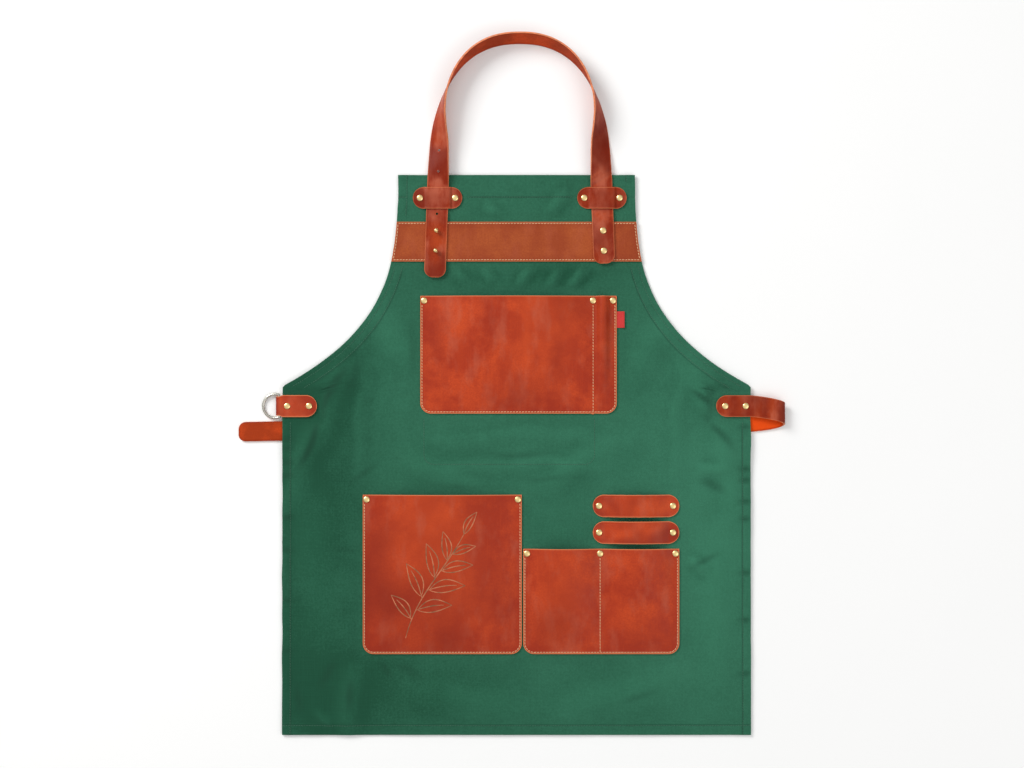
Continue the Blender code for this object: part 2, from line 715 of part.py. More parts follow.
def neck_strap(home, finish, cutters, spare_cutters):
    """One long strap, flat on the bib and turned on edge round the neck."""
    route = neck_route()
    lengths = lengths_along(route)
    total = lengths[-1]
    sections = []
    for distance in stations(lengths, total, TAIL_CORNER, TAIL_CORNER):
        middle, direction = point_at(route, lengths, distance)
        rise = (middle.y - KEEPER_TOP) / (ARCH_FOOT + ARCH_HEIGHT - KEEPER_TOP)
        lean = math.radians(look_up(NECK_STRAP_TURN, "rise", "lean", rise))
        outward = Vector((-direction.y, direction.x, 0))
        side = Vector((0, 0, 1)) * math.sin(lean) - outward * math.cos(lean)
        middle.z = neck_strap_rest(middle.x, middle.y)
        middle.z += STRAP_LEATHER / 2 * abs(math.cos(lean)) + STRAP_WIDTH / 2 * math.sin(lean)
        half = end_half_width(STRAP_WIDTH / 2, TAIL_CORNER, min(distance, total - distance))
        sections.append((middle, side, half))
    strap = strip("neck_strap", sections, STRAP_LEATHER, home, finish)
    cut(strap, cutters)
    cut(strap, spare_cutters)


def waist_route():
    """The waist strap: off the front tab, round its loop, and across behind the body."""
    front = WAIST_STRAP_TOP - STRAP_LEATHER / 2
    floor = STRAP_LEATHER / 2
    xs = spaced([EDGE - WAIST_TAB_LENGTH, EDGE], STATION_PITCH)
    points = [Vector((x, WAIST_TAB_LINE, front)) for x in xs]
    for row in WAIST_LOOP:
        y = mix(WAIST_TAB_LINE, back_strand_line(EDGE), row["across"])
        x = EDGE + WAIST_LOOP_REACH * row["out"]
        points.append(Vector((x, y, floor + WAIST_LOOP_RISE * row["up"])))
    for x in reversed(spaced([-EDGE - STRAP_END_REACH, EDGE], LONG_PITCH)):
        points.append(Vector((x, back_strand_line(x), floor)))
    return points


def softened(points, steps):
    """A smooth curve through the points."""
    curve = [points[0]]
    for k in range(len(points) - 1):
        before = points[max(k - 1, 0)]
        after = points[min(k + 2, len(points) - 1)]
        start, end = points[k], points[k + 1]
        reach = (end - start).length / 3
        lead_in = (end - before).normalized() * reach
        lead_out = (after - start).normalized() * reach
        curve += interpolate_bezier(start, start + lead_in, end - lead_out, end, steps + 1)[1:]
    return curve


def waist_strap(home, finish, cutters):
    """The strap that closes the apron, looped under itself at the right."""
    route = softened(waist_route(), 2)
    lengths = lengths_along(route)
    total = lengths[-1]
    behind = total - (2 * EDGE + STRAP_END_REACH)
    sections = []
    for distance in stations(lengths, total, STRAP_WIDTH / 2, STRAP_END_CORNER):
        middle, _ = point_at(route, lengths, distance)
        middle.z = max(middle.z, STRAP_LEATHER / 2)
        half = mix(STRAP_WIDTH, STRAP_END_WIDTH, smooth((distance - behind) / (total - behind))) / 2
        half = min(
            end_half_width(STRAP_WIDTH / 2, STRAP_WIDTH / 2, distance),
            end_half_width(half, STRAP_END_CORNER, total - distance),
        )
        sections.append((middle, Vector((0, 1, 0)), half))
    strap = strip("waist_strap", sections, STRAP_LEATHER, home, finish)
    cut(strap, cutters)


def ring_tab(home, finish, cutters):
    """A leather tab folded round the ring's bar, with a layer before and behind the body."""
    layer = spaced([RING_BAR_X + TAB_EASE, TAB_END], STATION_PITCH)
    points = [Vector((x, WAIST_TAB_LINE, TAB_FRONT)) for x in reversed(layer)]
    for turn in range(90, 271, 30):
        angle = math.radians(turn)
        x = RING_BAR_X + RING_FOLD_RADIUS * math.cos(angle)
        points.append(Vector((x, WAIST_TAB_LINE, RING_BAR_Z + RING_FOLD_RADIUS * math.sin(angle))))
    points += [Vector((x, WAIST_TAB_LINE, TAB_BACK)) for x in layer]
    lengths = lengths_along(points)
    total = lengths[-1]
    corner = TAB_WIDTH / 2
    sections = []
    for distance in stations(lengths, total, corner, corner):
        middle, _ = point_at(points, lengths, distance)
        opening = mix(RING_HALF_BAR - TAB_FOLD_INSET, corner, clamp((middle.x - RING_BAR_X) / TAB_EASE))
        half = min(opening, end_half_width(corner, corner, min(distance, total - distance)))
        sections.append((middle, Vector((0, 1, 0)), half))
    tab = strip("ring_tab", sections, TAB_LEATHER, home, finish)
    cut(tab, cutters)


def d_ring(home, finish):
    """A wire ring with one straight bar, tipped down until it rests on the surface."""
    bar = RING_HALF_BAR - RING_CORNER
    outline = [(0.0, -bar), (0.0, 0.0), (0.0, bar)]
    start = math.acos(RING_BAR_OFFSET / RING_RADIUS) + RING_CORNER / RING_RADIUS
    for k in range(RING_STEPS + 1):
        turn = mix(start, 2 * math.pi - start, k / RING_STEPS)
        outline.append((RING_RADIUS * math.cos(turn) - RING_BAR_OFFSET, RING_RADIUS * math.sin(turn)))
    curve = bpy.data.curves.new("d_ring", "CURVE")
    curve.dimensions = "3D"
    curve.bevel_depth = RING_WIRE_RADIUS
    curve.bevel_resolution = 2
    spline = curve.splines.new("POLY")
    spline.points.add(len(outline) - 1)
    spline.use_cyclic_u = True
    for point, (x, y) in zip(spline.points, outline):
        point.co = (x, y, 0, 1)
    ring = bpy.data.objects.new("d_ring", curve)
    home.objects.link(ring)
    curve.materials.append(finish)
    ring.location = (RING_BAR_X, WAIST_TAB_LINE, RING_BAR_Z)
    drop = RING_BAR_Z - RING_WIRE_RADIUS - GAP / 2
    ring.rotation_euler = (0, -math.asin(drop / (RING_RADIUS + RING_BAR_OFFSET)), 0)


def shank_and_back(seat, under):
    """The lower half of a rivet's or a stud's profile, from its seat down."""
    bottom = under - GAP
    return [
        (SHANK_RADIUS, seat + GAP),
        (SHANK_RADIUS, bottom),
        (BACK_CAP_RADIUS, bottom),
        (BACK_CAP_RADIUS, bottom - BACK_CAP),
        (0.0, bottom - BACK_CAP),
    ]


def fastener(name, x, y, seat, under, head, home, finish, cutters):
    """A turned rivet or stud and its hole: head is its profile above its seat."""
    profile = [(radius, seat + GAP + height) for radius, height in head]
    turned(name, profile + shank_and_back(seat, under), x, y, home, finish)
    hole_cutter(
        name + "_hole", x, y, SHANK_RADIUS + HOLE_CLEARANCE, under - HOLE_REACH, seat + HOLE_REACH, cutters
    )


def rivet(name, x, y, seat, under, home, finish, cutters):
    """A capped rivet from the leather's face, seat, to the back face, under."""
    head = [(0.0, CAP_HEIGHT), (CAP_RADIUS * 0.75, CAP_HEIGHT * 0.75), (CAP_RADIUS, 0.0)]
    fastener(name, x, y, seat, under, head, home, finish, cutters)


def stud(name, x, y, seat, under, home, finish, cutters):
    """A ball stud that the strap is buttoned over."""
    middle = STUD_NECK_HEIGHT + STUD_BALL_RADIUS
    head = [(0.0, middle + STUD_BALL_RADIUS)]
    for turn in (40, 75, 110, 145):
        angle = math.radians(turn)
        head.append((STUD_BALL_RADIUS * math.sin(angle), middle + STUD_BALL_RADIUS * math.cos(angle)))
    fastener(name, x, y, seat, under, head, home, finish, cutters)


def label(home, finish):
    """A folded cloth label in the chest pocket's right seam."""
    left = CHEST_POCKET_LEFT + CHEST_POCKET_WIDTH + GAP
    top = CHEST_POCKET_TOP - LABEL_DROP
    rows = []
    for y in (top - LABEL_LENGTH, top):
        xs = (left, left + LABEL_REACH / 2, left + LABEL_REACH)
        rows.append([Vector((x, y, canvas_top(x, y) + GAP)) for x in xs])
    tag = surface("side_label", rows, home, finish)
    thicken(tag, LABEL_THICKNESS, 1)


def fastened(prefix, places, leather, home, finish, cutters):
    """Rivets through one layer of leather that lies on the canvas."""
    for number, (x, y) in enumerate(places, 1):
        seat = canvas_top(x, y) + GAP + leather
        rivet(f"{prefix}_rivet_{number}", x, y, seat, canvas_under(x, y), home, finish, cutters)


def build():
    """Clears the scene and makes the apron."""
    for old in list(bpy.data.objects):
        bpy.data.objects.remove(old, do_unlink=True)
    apron = collection("gardening_apron")
    cutters = collection("rivet_hole_cutters")
    spare_cutters = collection("spare_hole_cutters")
    canvas = material("green_canvas", (0.036, 0.140, 0.083), 0.85)
    leather = material("brown_leather", (0.43, 0.065, 0.026), 0.45)
    brass = material("brass", (0.83, 0.62, 0.28), 0.25, 1.0)
    steel = material("nickel_plate", (0.66, 0.64, 0.58), 0.28, 1.0)
    red_cloth = material("red_label", (0.72, 0.03, 0.03), 0.7)

    canvas_body(apron, canvas, cutters)
    chest_band(apron, leather, cutters)
    pocket(
        "chest_pocket",
        CHEST_POCKET_LEFT,
        CHEST_POCKET_BOTTOM,
        CHEST_POCKET_HEIGHT,
        [(CHEST_POCKET_WIDTH - PEN_SLOT_WIDTH, CHEST_BULGE), (PEN_SLOT_WIDTH, PEN_BULGE)],
        apron,
        leather,
        cutters,
    )
    pocket(
        "tall_pocket",
        TALL_POCKET_LEFT,
        LOWER_POCKETS_BOTTOM,
        TALL_POCKET_HEIGHT,
        [(TALL_POCKET_WIDTH, TALL_BULGE)],
        apron,
        leather,
        cutters,
    )
    pocket(
        "twin_pocket",
        TWIN_LEFT,
        LOWER_POCKETS_BOTTOM,
        TWIN_POCKET_HEIGHT,
        [(TWIN_LEFT_WIDTH, TWIN_BULGE), (TWIN_RIGHT_WIDTH, TWIN_BULGE)],
        apron,
        leather,
        cutters,
    )
    label(apron, red_cloth)

    chest_line = CHEST_POCKET_TOP - RIVET_DROP
    chest_right = CHEST_POCKET_LEFT + CHEST_POCKET_WIDTH
    fastened(
        "chest_pocket",
        [
            (CHEST_POCKET_LEFT + RIVET_INSET, chest_line),
            (chest_right - PEN_SLOT_WIDTH, chest_line),
            (chest_right - RIVET_INSET, chest_line),
        ],
        POCKET_LEATHER, apron, brass, cutters,
    )
    tall_line = LOWER_POCKETS_BOTTOM + TALL_POCKET_HEIGHT - RIVET_DROP
    fastened(
        "tall_pocket",
        [
            (TALL_POCKET_LEFT + RIVET_INSET, tall_line),
            (TALL_POCKET_LEFT + TALL_POCKET_WIDTH - RIVET_INSET, tall_line),
        ],
        POCKET_LEATHER, apron, brass, cutters,
    )
    twin_line = TWIN_TOP - RIVET_DROP
    fastened(
        "twin_pocket",
        [
            (TWIN_LEFT + RIVET_INSET, twin_line),
            (TWIN_LEFT + TWIN_LEFT_WIDTH, twin_line),
            (TWIN_RIGHT - RIVET_INSET, twin_line),
        ],
        POCKET_LEATHER, apron, brass, cutters,
    )

    loop_x = TWIN_RIGHT - LOOP_LENGTH / 2
    reach = LOOP_LENGTH / 2 - LOOP_RIVET_INSET
    for name, y in (("upper_tool_loop", UPPER_LOOP_LINE), ("lower_tool_loop", LOWER_LOOP_LINE)):
        tool_loop(name, (loop_x, y), apron, leather, cutters)
        places = [(loop_x - reach, y), (loop_x + reach, y)]
        fastened(name, places, POCKET_LEATHER, apron, brass, cutters)

    for name, side in (("left_keeper", -1), ("right_keeper", 1)):
        strap_x = neck_strap_x(side, KEEPER_LINE)
        reach = keeper(name, strap_x, apron, leather, cutters)
        places = [(strap_x - reach, KEEPER_LINE), (strap_x + reach, KEEPER_LINE)]
        fastened(name, places, TAB_LEATHER, apron, brass, cutters)

    for number, y in enumerate((UPPER_STUD_LINE, LOWER_STUD_LINE), 1):
        for side, kind, make in ((-1, "stud", stud), (1, "rivet", rivet)):
            x = neck_strap_x(side, y)
            seat = neck_strap_rest(x, y) + STRAP_LEATHER
            make(f"neck_{kind}_{number}", x, y, seat, canvas_under(x, y), apron, brass, cutters)
    for number in range(SPARE_HOLES):
        y = UPPER_STUD_LINE + SPARE_HOLE_START + SPARE_HOLE_PITCH * number
        x = neck_strap_x(-1, y)
        rest = neck_strap_rest(x, y)
        hole_cutter(
            f"spare_hole_{number + 1}", x, y, SPARE_HOLE_RADIUS, rest - HOLE_REACH, rest + STRAP_WIDTH,
            spare_cutters,
        )
    neck_strap(apron, leather, cutters, spare_cutters)

    waist_strap(apron, leather, cutters)
    for number in range(2):
        x = EDGE - WAIST_TAB_LENGTH + WAIST_RIVET_INSET + WAIST_RIVET_PITCH * number
        rivet(
            f"waist_strap_rivet_{number + 1}", x, WAIST_TAB_LINE, WAIST_STRAP_TOP,
            canvas_under(x, WAIST_TAB_LINE), apron, brass, cutters,
        )

    ring_tab(apron, leather, cutters)
    d_ring(apron, steel)
    for number in range(2):
        x = TAB_END - TAB_RIVET_INSET - TAB_RIVET_PITCH * number
        rivet(
            f"ring_tab_rivet_{number + 1}", x, WAIST_TAB_LINE,
            TAB_FRONT + TAB_LEATHER / 2, BACK_CAP + GAP, apron, brass, cutters,
        )


build()
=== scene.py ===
"""The looks of a gardening apron: green canvas, waxed leather, brass rivets and a ring.

The apron lies face up. +Z is up, out of its front, and +Y points to the neck. All
sizes are in metres.
"""

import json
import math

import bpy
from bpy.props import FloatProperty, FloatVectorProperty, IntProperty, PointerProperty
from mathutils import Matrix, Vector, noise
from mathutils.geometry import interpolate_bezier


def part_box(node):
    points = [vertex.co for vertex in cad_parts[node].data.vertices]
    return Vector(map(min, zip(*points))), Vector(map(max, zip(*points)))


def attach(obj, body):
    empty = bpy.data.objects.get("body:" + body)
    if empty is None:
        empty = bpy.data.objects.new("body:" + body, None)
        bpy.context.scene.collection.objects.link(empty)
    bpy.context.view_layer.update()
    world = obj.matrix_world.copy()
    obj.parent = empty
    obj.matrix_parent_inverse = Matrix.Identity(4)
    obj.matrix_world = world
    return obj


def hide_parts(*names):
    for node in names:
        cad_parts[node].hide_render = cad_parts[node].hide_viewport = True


bl_info = {
    "name": "Gardening Apron",
    "version": (1, 0, 0),
    "blender": (4, 5, 0),
    "location": "View3D > Sidebar > Apron",
    "description": "Builds a canvas and leather gardening apron round its packed frame",
    "category": "Add Mesh",
}

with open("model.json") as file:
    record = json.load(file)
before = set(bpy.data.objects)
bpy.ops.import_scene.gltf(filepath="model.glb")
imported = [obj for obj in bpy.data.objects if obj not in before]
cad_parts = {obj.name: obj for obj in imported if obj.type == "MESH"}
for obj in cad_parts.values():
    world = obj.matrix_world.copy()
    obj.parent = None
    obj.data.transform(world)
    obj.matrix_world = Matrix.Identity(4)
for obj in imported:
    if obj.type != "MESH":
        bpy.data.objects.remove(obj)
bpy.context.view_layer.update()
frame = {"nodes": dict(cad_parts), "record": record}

APRON, RING = "apron", "ring"

# Places read from the frame
BODY_LOW, BODY_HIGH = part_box("canvas_body")
BAND_LOW, BAND_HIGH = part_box("chest_band")
LABEL_LOW, LABEL_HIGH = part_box("side_label")
TAB_LOW, TAB_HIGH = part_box("ring_tab")
STRAP_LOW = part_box("waist_strap")[0]
RING_BAR = Vector(frame["record"]["behaviour"]["joints"][0]["pos_m"])
HEM_LINE, BIB_TOP = BODY_LOW.y, BODY_HIGH.y
BODY_LENGTH = BIB_TOP - HEM_LINE
SKIRT_HALF = BODY_HIGH.x

# Canvas outline, as the frame's body has it
WAIST_HALF = 0.327
BIB_HALF = 0.1655
ARMHOLE_START = BIB_TOP - 0.034
SIDE_CORNER = BIB_TOP - 0.295
ARMHOLE_TOP_HANDLE = (0.033, 0.332)
ARMHOLE_SIDE_HANDLE = (0.951, 0.311)
ARMHOLE_POINTS = 160
SIDE_HEM, BIB_HEM, ARMHOLE_FACING = 0.012, 0.013, 0.018
BOTTOM_HEM, TOP_HEM = 0.014, 0.031
FACING_STRETCH, FACING_END = 2.0, 0.010
CANVAS, HEM_FOLD = 0.0010, 0.0012

# Leather
POCKET_LEATHER, STRAP_LEATHER, TAB_LEATHER = 0.0018, 0.0024, 0.0020
GAP = 0.0003
STRAP_WIDTH = 0.030
POCKET_CORNER = 0.015
SEAM = 0.0075
FLAT_AT_RIVET = 0.0104
FLAT_AT_DIVIDER = 0.0052
STITCH_INSET = 0.0024
SEAM_DROP = 0.0125  # a pocket's mouth down to where its sewn line starts
BORDER_CREASE, BORDER_CREASE_DEPTH, BORDER_CREASE_WIDTH = 0.0030, 0.00022, 0.0013


def table(columns, *rows):
    """Rows of values under their columns' names."""
    return [dict(zip(columns.split(), row)) for row in rows]


# How the canvas stands off the surface, as the frame's body has it
WAIST_TAB_LINE = 0.028
STRAP_SLOPE = 0.0210
STRAP_END_WIDTH = 0.0272
RIDGE_MARGIN, RIDGE_RAMP = 0.010, 0.028
BIB_RAMP_END = BIB_TOP - 0.052
SIDE_LIFT_IN, SIDE_LIFT_FADE = 0.085, 0.080
SIDE_LIFT_HALF_HEIGHT, SIDE_LIFT_RAMP = 0.042, 0.062
BACK_CAP = HEM_FOLD - GAP
CLOTH_TOP = HEM_FOLD + CANVAS
BIB_LIFT = BACK_CAP + GAP
RIDGE_LIFT = STRAP_LEATHER + GAP - HEM_FOLD
RIGHT_LIFT = STRAP_LEATHER + GAP
LEFT_LIFT = BACK_CAP + 2 * GAP + TAB_LEATHER
CHEST_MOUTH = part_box("chest_pocket")[1].y

# Neck strap
ARCH_CENTRE, ARCH_HALF_WIDTH = 0.0045, 0.112
ARCH_FOOT, ARCH_HEIGHT = BIB_TOP + 0.0497, 0.140
ARCH_SQUARENESS, ARCH_STEPS = 2.3, 160
STRAP_SPLAY = 0.035
KEEPER_LINE = BIB_TOP - 0.0322
KEEPER_BOTTOM, KEEPER_TOP = KEEPER_LINE - 0.015, KEEPER_LINE + 0.015
LEFT_TAIL, RIGHT_TAIL = 0.0223, 0.0030
TAIL_CORNER = 0.012
NECK_STRAP_TURN = table(
    "rise lean",
    (0.00, 0.0),
    (0.08, 12.0),
    (0.19, 24.0),
    (0.26, 29.0),
    (0.32, 36.0),
    (0.42, 53.0),
    (0.50, 66.0),
    (0.62, 81.0),
    (0.79, 94.0),
    (1.00, 110.0),
)
# Creases across the neck strap's right leg: y is up from the band's bottom edge
STRAP_CREASES = table(
    "up slant width depth",
    (0.061, 0.55, 0.0030, 0.0005),
    (0.067, 0.30, 0.0024, 0.0004),
    (0.112, -0.60, 0.0034, 0.0006),
    (0.119, -0.45, 0.0026, 0.0005),
    (0.128, -0.75, 0.0030, 0.0004),
)
# Places where straps and loops are darker, or below 0 lighter, partly painted shade and painted
# highlight where the neck strap's legs turn: their places are in metres
STRAP_SHADES = table(
    "x y wide age",
    (-0.110, 0.448, 0.040, -0.80),
    (-0.110, 0.396, 0.022, -1.10),
    (-0.110, 0.371, 0.038, 0.55),
    (-0.112, 0.340, 0.026, -0.45),
    (-0.112, 0.285, 0.080, -0.55),
    (-0.138, 0.320, 0.034, 0.50),
    (0.116, 0.452, 0.040, -0.60),
    (0.119, 0.404, 0.060, 0.40),
    (0.121, 0.374, 0.040, 0.50),
    (0.121, 0.344, 0.034, -0.85),
    (0.118, 0.292, 0.034, -0.80),
    (0.118, 0.260, 0.034, -0.40),
    (0.142, 0.318, 0.030, 0.35),
    (0.166, -0.130, 0.110, -0.42),
)
SPARE_HOLE_RADIUS, SPARE_HOLE_PITCH, SPARE_HOLE_START, SPARE_HOLES = 0.0018, 0.0294, 0.0236, 4

# Waist strap's loop at the right: out of its reach, up of its rise, and across of the
# way between the tab's line and the back strand's
WAIST_TAB_LENGTH = 0.0481
WAIST_LOOP_REACH, WAIST_LOOP_RISE = 0.0468, 0.0120
WAIST_LOOP = table(
    "out up across",
    (0.33, 0.60, 0.08),
    (0.60, 0.87, 0.18),
    (0.80, 1.00, 0.28),
    (0.95, 0.86, 0.40),
    (1.00, 0.55, 0.50),
    (0.95, 0.24, 0.62),
    (0.78, 0.05, 0.76),
    (0.50, 0.00, 0.88),
)

# Wear with painted highlight and shade where the strap bends, from -1 darker to 1 paler: out is a
# share of the loop's reach from the body's edge
WAIST_LOOP_SHADING = table(
    "out wide wear",
    (-0.75, 0.30, 0.45),
    (-0.30, 0.35, 0.55),
    (0.20, 0.30, 0.65),
    (0.42, 0.22, -0.60),
    (0.64, 0.20, 0.75),
    (0.98, 0.40, -1.00),
)

# Ring and its tab
RING_WIRE, RING_RADIUS, RING_BAR_OFFSET, RING_CORNER = 0.0020, 0.0166, 0.0058, 0.0015
RING_HALF_BAR = math.sqrt(RING_RADIUS**2 - RING_BAR_OFFSET**2)
RING_FOLD_RADIUS = RING_WIRE + GAP + TAB_LEATHER / 2
TAB_EASE, TAB_FOLD_INSET = 0.0060, 0.0023
TAB_FRONT = CLOTH_TOP + LEFT_LIFT + GAP + TAB_LEATHER / 2
TAB_BACK = BACK_CAP + GAP + TAB_LEATHER / 2

# Bulges of the pockets' compartments, from left to right
CHEST_BULGES, TALL_BULGES, TWIN_BULGES = (0.0085, 0.0075), (0.0095,), (0.0080, 0.0080)
LOOP_ARCH = 0.0080

# Free folds in the canvas: across is a share of half the skirt's width, up of the
# body's length from its hem, turn is from +Y in degrees, the rest are metres.
FOLDS = table(
    "across up turn length width height",
    (-0.815, 0.577, -27, 0.170, 0.040, 0.0049),
    (0.820, 0.600, 25, 0.180, 0.042, 0.0052),
    (-0.930, 0.470, -20, 0.130, 0.034, 0.0032),
    (0.905, 0.455, 8, 0.140, 0.036, 0.0035),
    (-0.706, 0.062, -4, 0.120, 0.030, 0.0043),
    (-0.830, 0.030, 32, 0.032, 0.011, 0.0023),
    (-0.800, 0.022, 24, 0.026, 0.009, 0.0019),
    (0.771, 0.303, 55, 0.036, 0.013, 0.0027),
    (0.835, 0.471, 84, 0.050, 0.014, 0.0023),
    (-0.088, 0.930, 50, 0.044, 0.014, 0.0021),
    (0.170, 0.950, -35, 0.050, 0.016, 0.0017),
    (-0.250, 0.822, 38, 0.040, 0.013, 0.0025),
    (-0.120, 0.820, 30, 0.034, 0.012, 0.0021),
    (0.040, 0.824, -34, 0.042, 0.014, 0.0025),
    (0.160, 0.818, -28, 0.040, 0.013, 0.0023),
    (0.260, 0.820, -42, 0.046, 0.014, 0.0029),
    (0.015, 0.530, 89, 0.330, 0.018, 0.0011),
    (0.015, 0.479, 90, 0.300, 0.016, 0.0012),
    (-0.651, 0.560, 0, 0.240, 0.013, 0.0009),
    (0.698, 0.560, 0, 0.240, 0.013, 0.0009),
    (-0.860, 0.300, 6, 0.300, 0.060, 0.0035),
    (0.880, 0.240, -7, 0.330, 0.058, 0.0038),
    (-0.200, 0.060, 80, 0.260, 0.050, 0.0026),
    (0.450, 0.070, -74, 0.240, 0.052, 0.0032),
    (-0.500, 0.700, 30, 0.120, 0.040, 0.0029),
    (0.560, 0.690, -33, 0.130, 0.042, 0.0032),
    (0.240, 0.480, -66, 0.150, 0.034, 0.0027),
    (-0.330, 0.465, 62, 0.160, 0.036, 0.0027),
)
LEATHER_MARGIN, LEATHER_FADE = 0.002, 0.016
CONTACT_SHADE, HEM_SHADE = 0.06, 0.60
# Painted shade in the folds' hollows and painted highlight on their crests, as canvas tone
FOLD_VALLEY_SHADE, CREST_HIGHLIGHT, FOLD_TONE_REACH, FOLD_TONE_MOST = 900.0, 130.0, 0.013, 1.0

# Pressed creases, as in FOLDS, with depth from 0 to 1 for how deep the line is and how much shade is
# painted in it
CREASES = table(
    "across up turn length width depth",
    (-0.807, 0.604, -32, 0.118, 0.0110, 1.00),
    (-0.881, 0.523, -24, 0.094, 0.0100, 0.90),
    (-0.690, 0.640, -20, 0.070, 0.0130, 0.40),
    (0.851, 0.541, 41, 0.078, 0.0095, 0.60),
    (-0.712, 0.073, -4, 0.056, 0.0110, 0.60),
    (-0.807, 0.109, -28, 0.052, 0.0110, 0.50),
    (-0.930, 0.064, 12, 0.050, 0.0100, 0.50),
    (-0.454, 0.114, 58, 0.050, 0.0110, 0.32),
    (0.796, 0.601, 53, 0.048, 0.0070, 0.80),
    (0.894, 0.618, 60, 0.030, 0.0060, 0.80),
    (0.850, 0.610, 46, 0.040, 0.0065, 0.55),
    (0.840, 0.446, 60, 0.046, 0.0110, 0.45),
    (0.800, 0.312, -62, 0.050, 0.0080, 0.45),
    (-0.650, 0.470, -58, 0.060, 0.0080, 0.30),
    (-0.700, 0.330, 82, 0.070, 0.0090, 0.25),
    (0.020, 0.505, 88, 0.120, 0.0080, 0.28),
    (0.120, 0.456, 92, 0.090, 0.0080, 0.28),
    (-0.180, 0.440, 86, 0.080, 0.0080, 0.24),
    (-0.560, 0.120, 35, 0.050, 0.0080, 0.40),
    (0.520, 0.070, -70, 0.070, 0.0090, 0.30),
)
# CREASE_DEPTH is how deep the creases are; CREASE_TONE and CREASE_SHADE paint shade into them and
# into the hems' puckers
CREASE_DEPTH, CREASE_TONE, CREASE_SHADE = 0.0007, 0.7, 0.95

# Where the sewn side hems pucker, up as in FOLDS
LEFT_PUCKERS = (0.527, 0.512, 0.486, 0.463, 0.388, 0.330, 0.240, 0.150)
RIGHT_PUCKERS = (0.552, 0.475, 0.455, 0.417, 0.386, 0.290, 0.205, 0.110)

# Shares of a turned hem where its surface needs a column: outer edge, stitches, fold
HEM_COLUMNS = (
    0, 0.06, 0.16, 0.27, 0.34, 0.39, 0.44, 0.54, 0.66, 0.78, 0.87, 0.92, 0.96, 1.0, 1.04, 1.1, 1.2
)
HEM_STITCH, FACING_STITCH, HEM_END = 0.94, 0.39, 1.0
HEM_GROOVE = 0.0026

# Distances in from the bottom and top edges where the canvas needs a row
BOTTOM_ROWS = (0, 0.0008, 0.0025, 0.005, 0.008, 0.0105, 0.012, 0.0132, 0.0144, 0.0158, 0.018)
TOP_ROWS = (
    0, 0.0008, 0.0025, 0.006, 0.010, 0.014, 0.018, 0.022, 0.026, 0.029, 0.031, 0.0325, 0.035
)
CANVAS_COLUMNS, CANVAS_PITCH = 156, 0.0037

# Inner pocket's sewn line: in from the chest pocket's sides, and the place of its foot
INNER_POCKET_LEFT, INNER_POCKET_RIGHT = 0.005, 0.031
INNER_POCKET_BOTTOM, INNER_POCKET_CORNER = -0.0535, 0.014

# Broad darker and lighter places of the canvas: across and up as in FOLDS, wide and high in
# metres, and tone from -1, darker, to 1, lighter
CANVAS_TONES = table(
    "across up wide high tone",
    (-0.88, 0.42, 0.17, 0.60, -1.9),
    (-0.80, 0.06, 0.24, 0.20, -1.3),
    (-0.30, 0.08, 0.34, 0.12, -1.10),
    (0.84, 0.40, 0.20, 0.50, 1.5),
    (0.75, 0.08, 0.20, 0.14, 0.15),
    (0.06, 0.52, 0.52, 0.16, 0.55),
    (0.10, 0.09, 0.26, 0.08, 0.35),
    (0.24, 0.826, 0.17, 0.045, -1.20),
    (-0.32, 0.825, 0.07, 0.05, -0.80),
    (-0.08, 0.94, 0.16, 0.06, 0.25),
    (-0.52, 0.68, 0.05, 0.16, 0.30),
    (-0.70, 0.60, 0.05, 0.13, -0.55),
    (-0.93, 0.60, 0.09, 0.12, -1.2),
    (0.50, 0.30, 0.70, 0.60, 0.25),
    (0.62, 0.66, 0.06, 0.18, 0.35),
    (0.90, 0.62, 0.10, 0.11, -1.0),
)

# Darker places in the pockets' leather, or below 0 paler ones: across, up, wide and high
# are shares of the pocket
POCKET_SHADES = {
    "chest_pocket": table(
        "across up wide high depth",
        (0.93, 0.60, 0.16, 1.4, 0.30),
        (0.78, 0.90, 0.20, 0.30, 0.45),
        (0.50, 0.14, 0.34, 0.40, 0.45),
        (0.08, 0.62, 0.14, 0.80, 0.30),
        (0.70, 0.45, 0.08, 0.80, 0.25),
        (0.36, 0.85, 0.12, 0.50, 0.20),
        (0.54, 0.66, 0.045, 0.60, -0.55),
        (0.20, 0.70, 0.070, 0.50, -0.35),
    ),
    "tall_pocket": table(
        "across up wide high depth",
        (0.50, 0.10, 1.10, 0.60, 0.45),
        (0.10, 0.34, 0.60, 0.62, 0.80),
        (0.86, 0.30, 0.34, 0.60, 0.30),
        (0.12, 0.72, 0.22, 0.46, 0.30),
        (0.60, 0.95, 0.50, 0.16, 0.25),
        (0.50, 0.74, 0.80, 0.50, 0.22),
    ),
    "twin_pocket": table(
        "across up wide high depth",
        (0.18, 0.30, 0.34, 0.70, 0.42),
        (0.50, 0.60, 0.10, 1.20, 0.30),
        (0.84, 0.14, 0.44, 0.36, 0.38),
        (0.94, 0.80, 0.12, 0.60, 0.30),
    ),
}

# The sprig on the tall pocket: a stem with leaves, as shares of the pocket's size
SPRIG_STEM = ((0.27, 0.10), (0.34, 0.38), (0.50, 0.50), (0.64, 0.76))
SPRIG_LEAVES = table(
    "along side turn length width",
    (0.16, -1, 62, 0.20, 0.34),
    (0.24, 1, 56, 0.23, 0.34),
    (0.36, -1, 55, 0.24, 0.33),
    (0.45, 1, 50, 0.24, 0.33),
    (0.56, -1, 48, 0.23, 0.32),
    (0.65, 1, 44, 0.21, 0.32),
    (0.75, -1, 42, 0.19, 0.32),
    (0.83, 1, 38, 0.16, 0.32),
    (0.99, 1, 2, 0.17, 0.30),
)
SPRIG_LINE = 0.0015

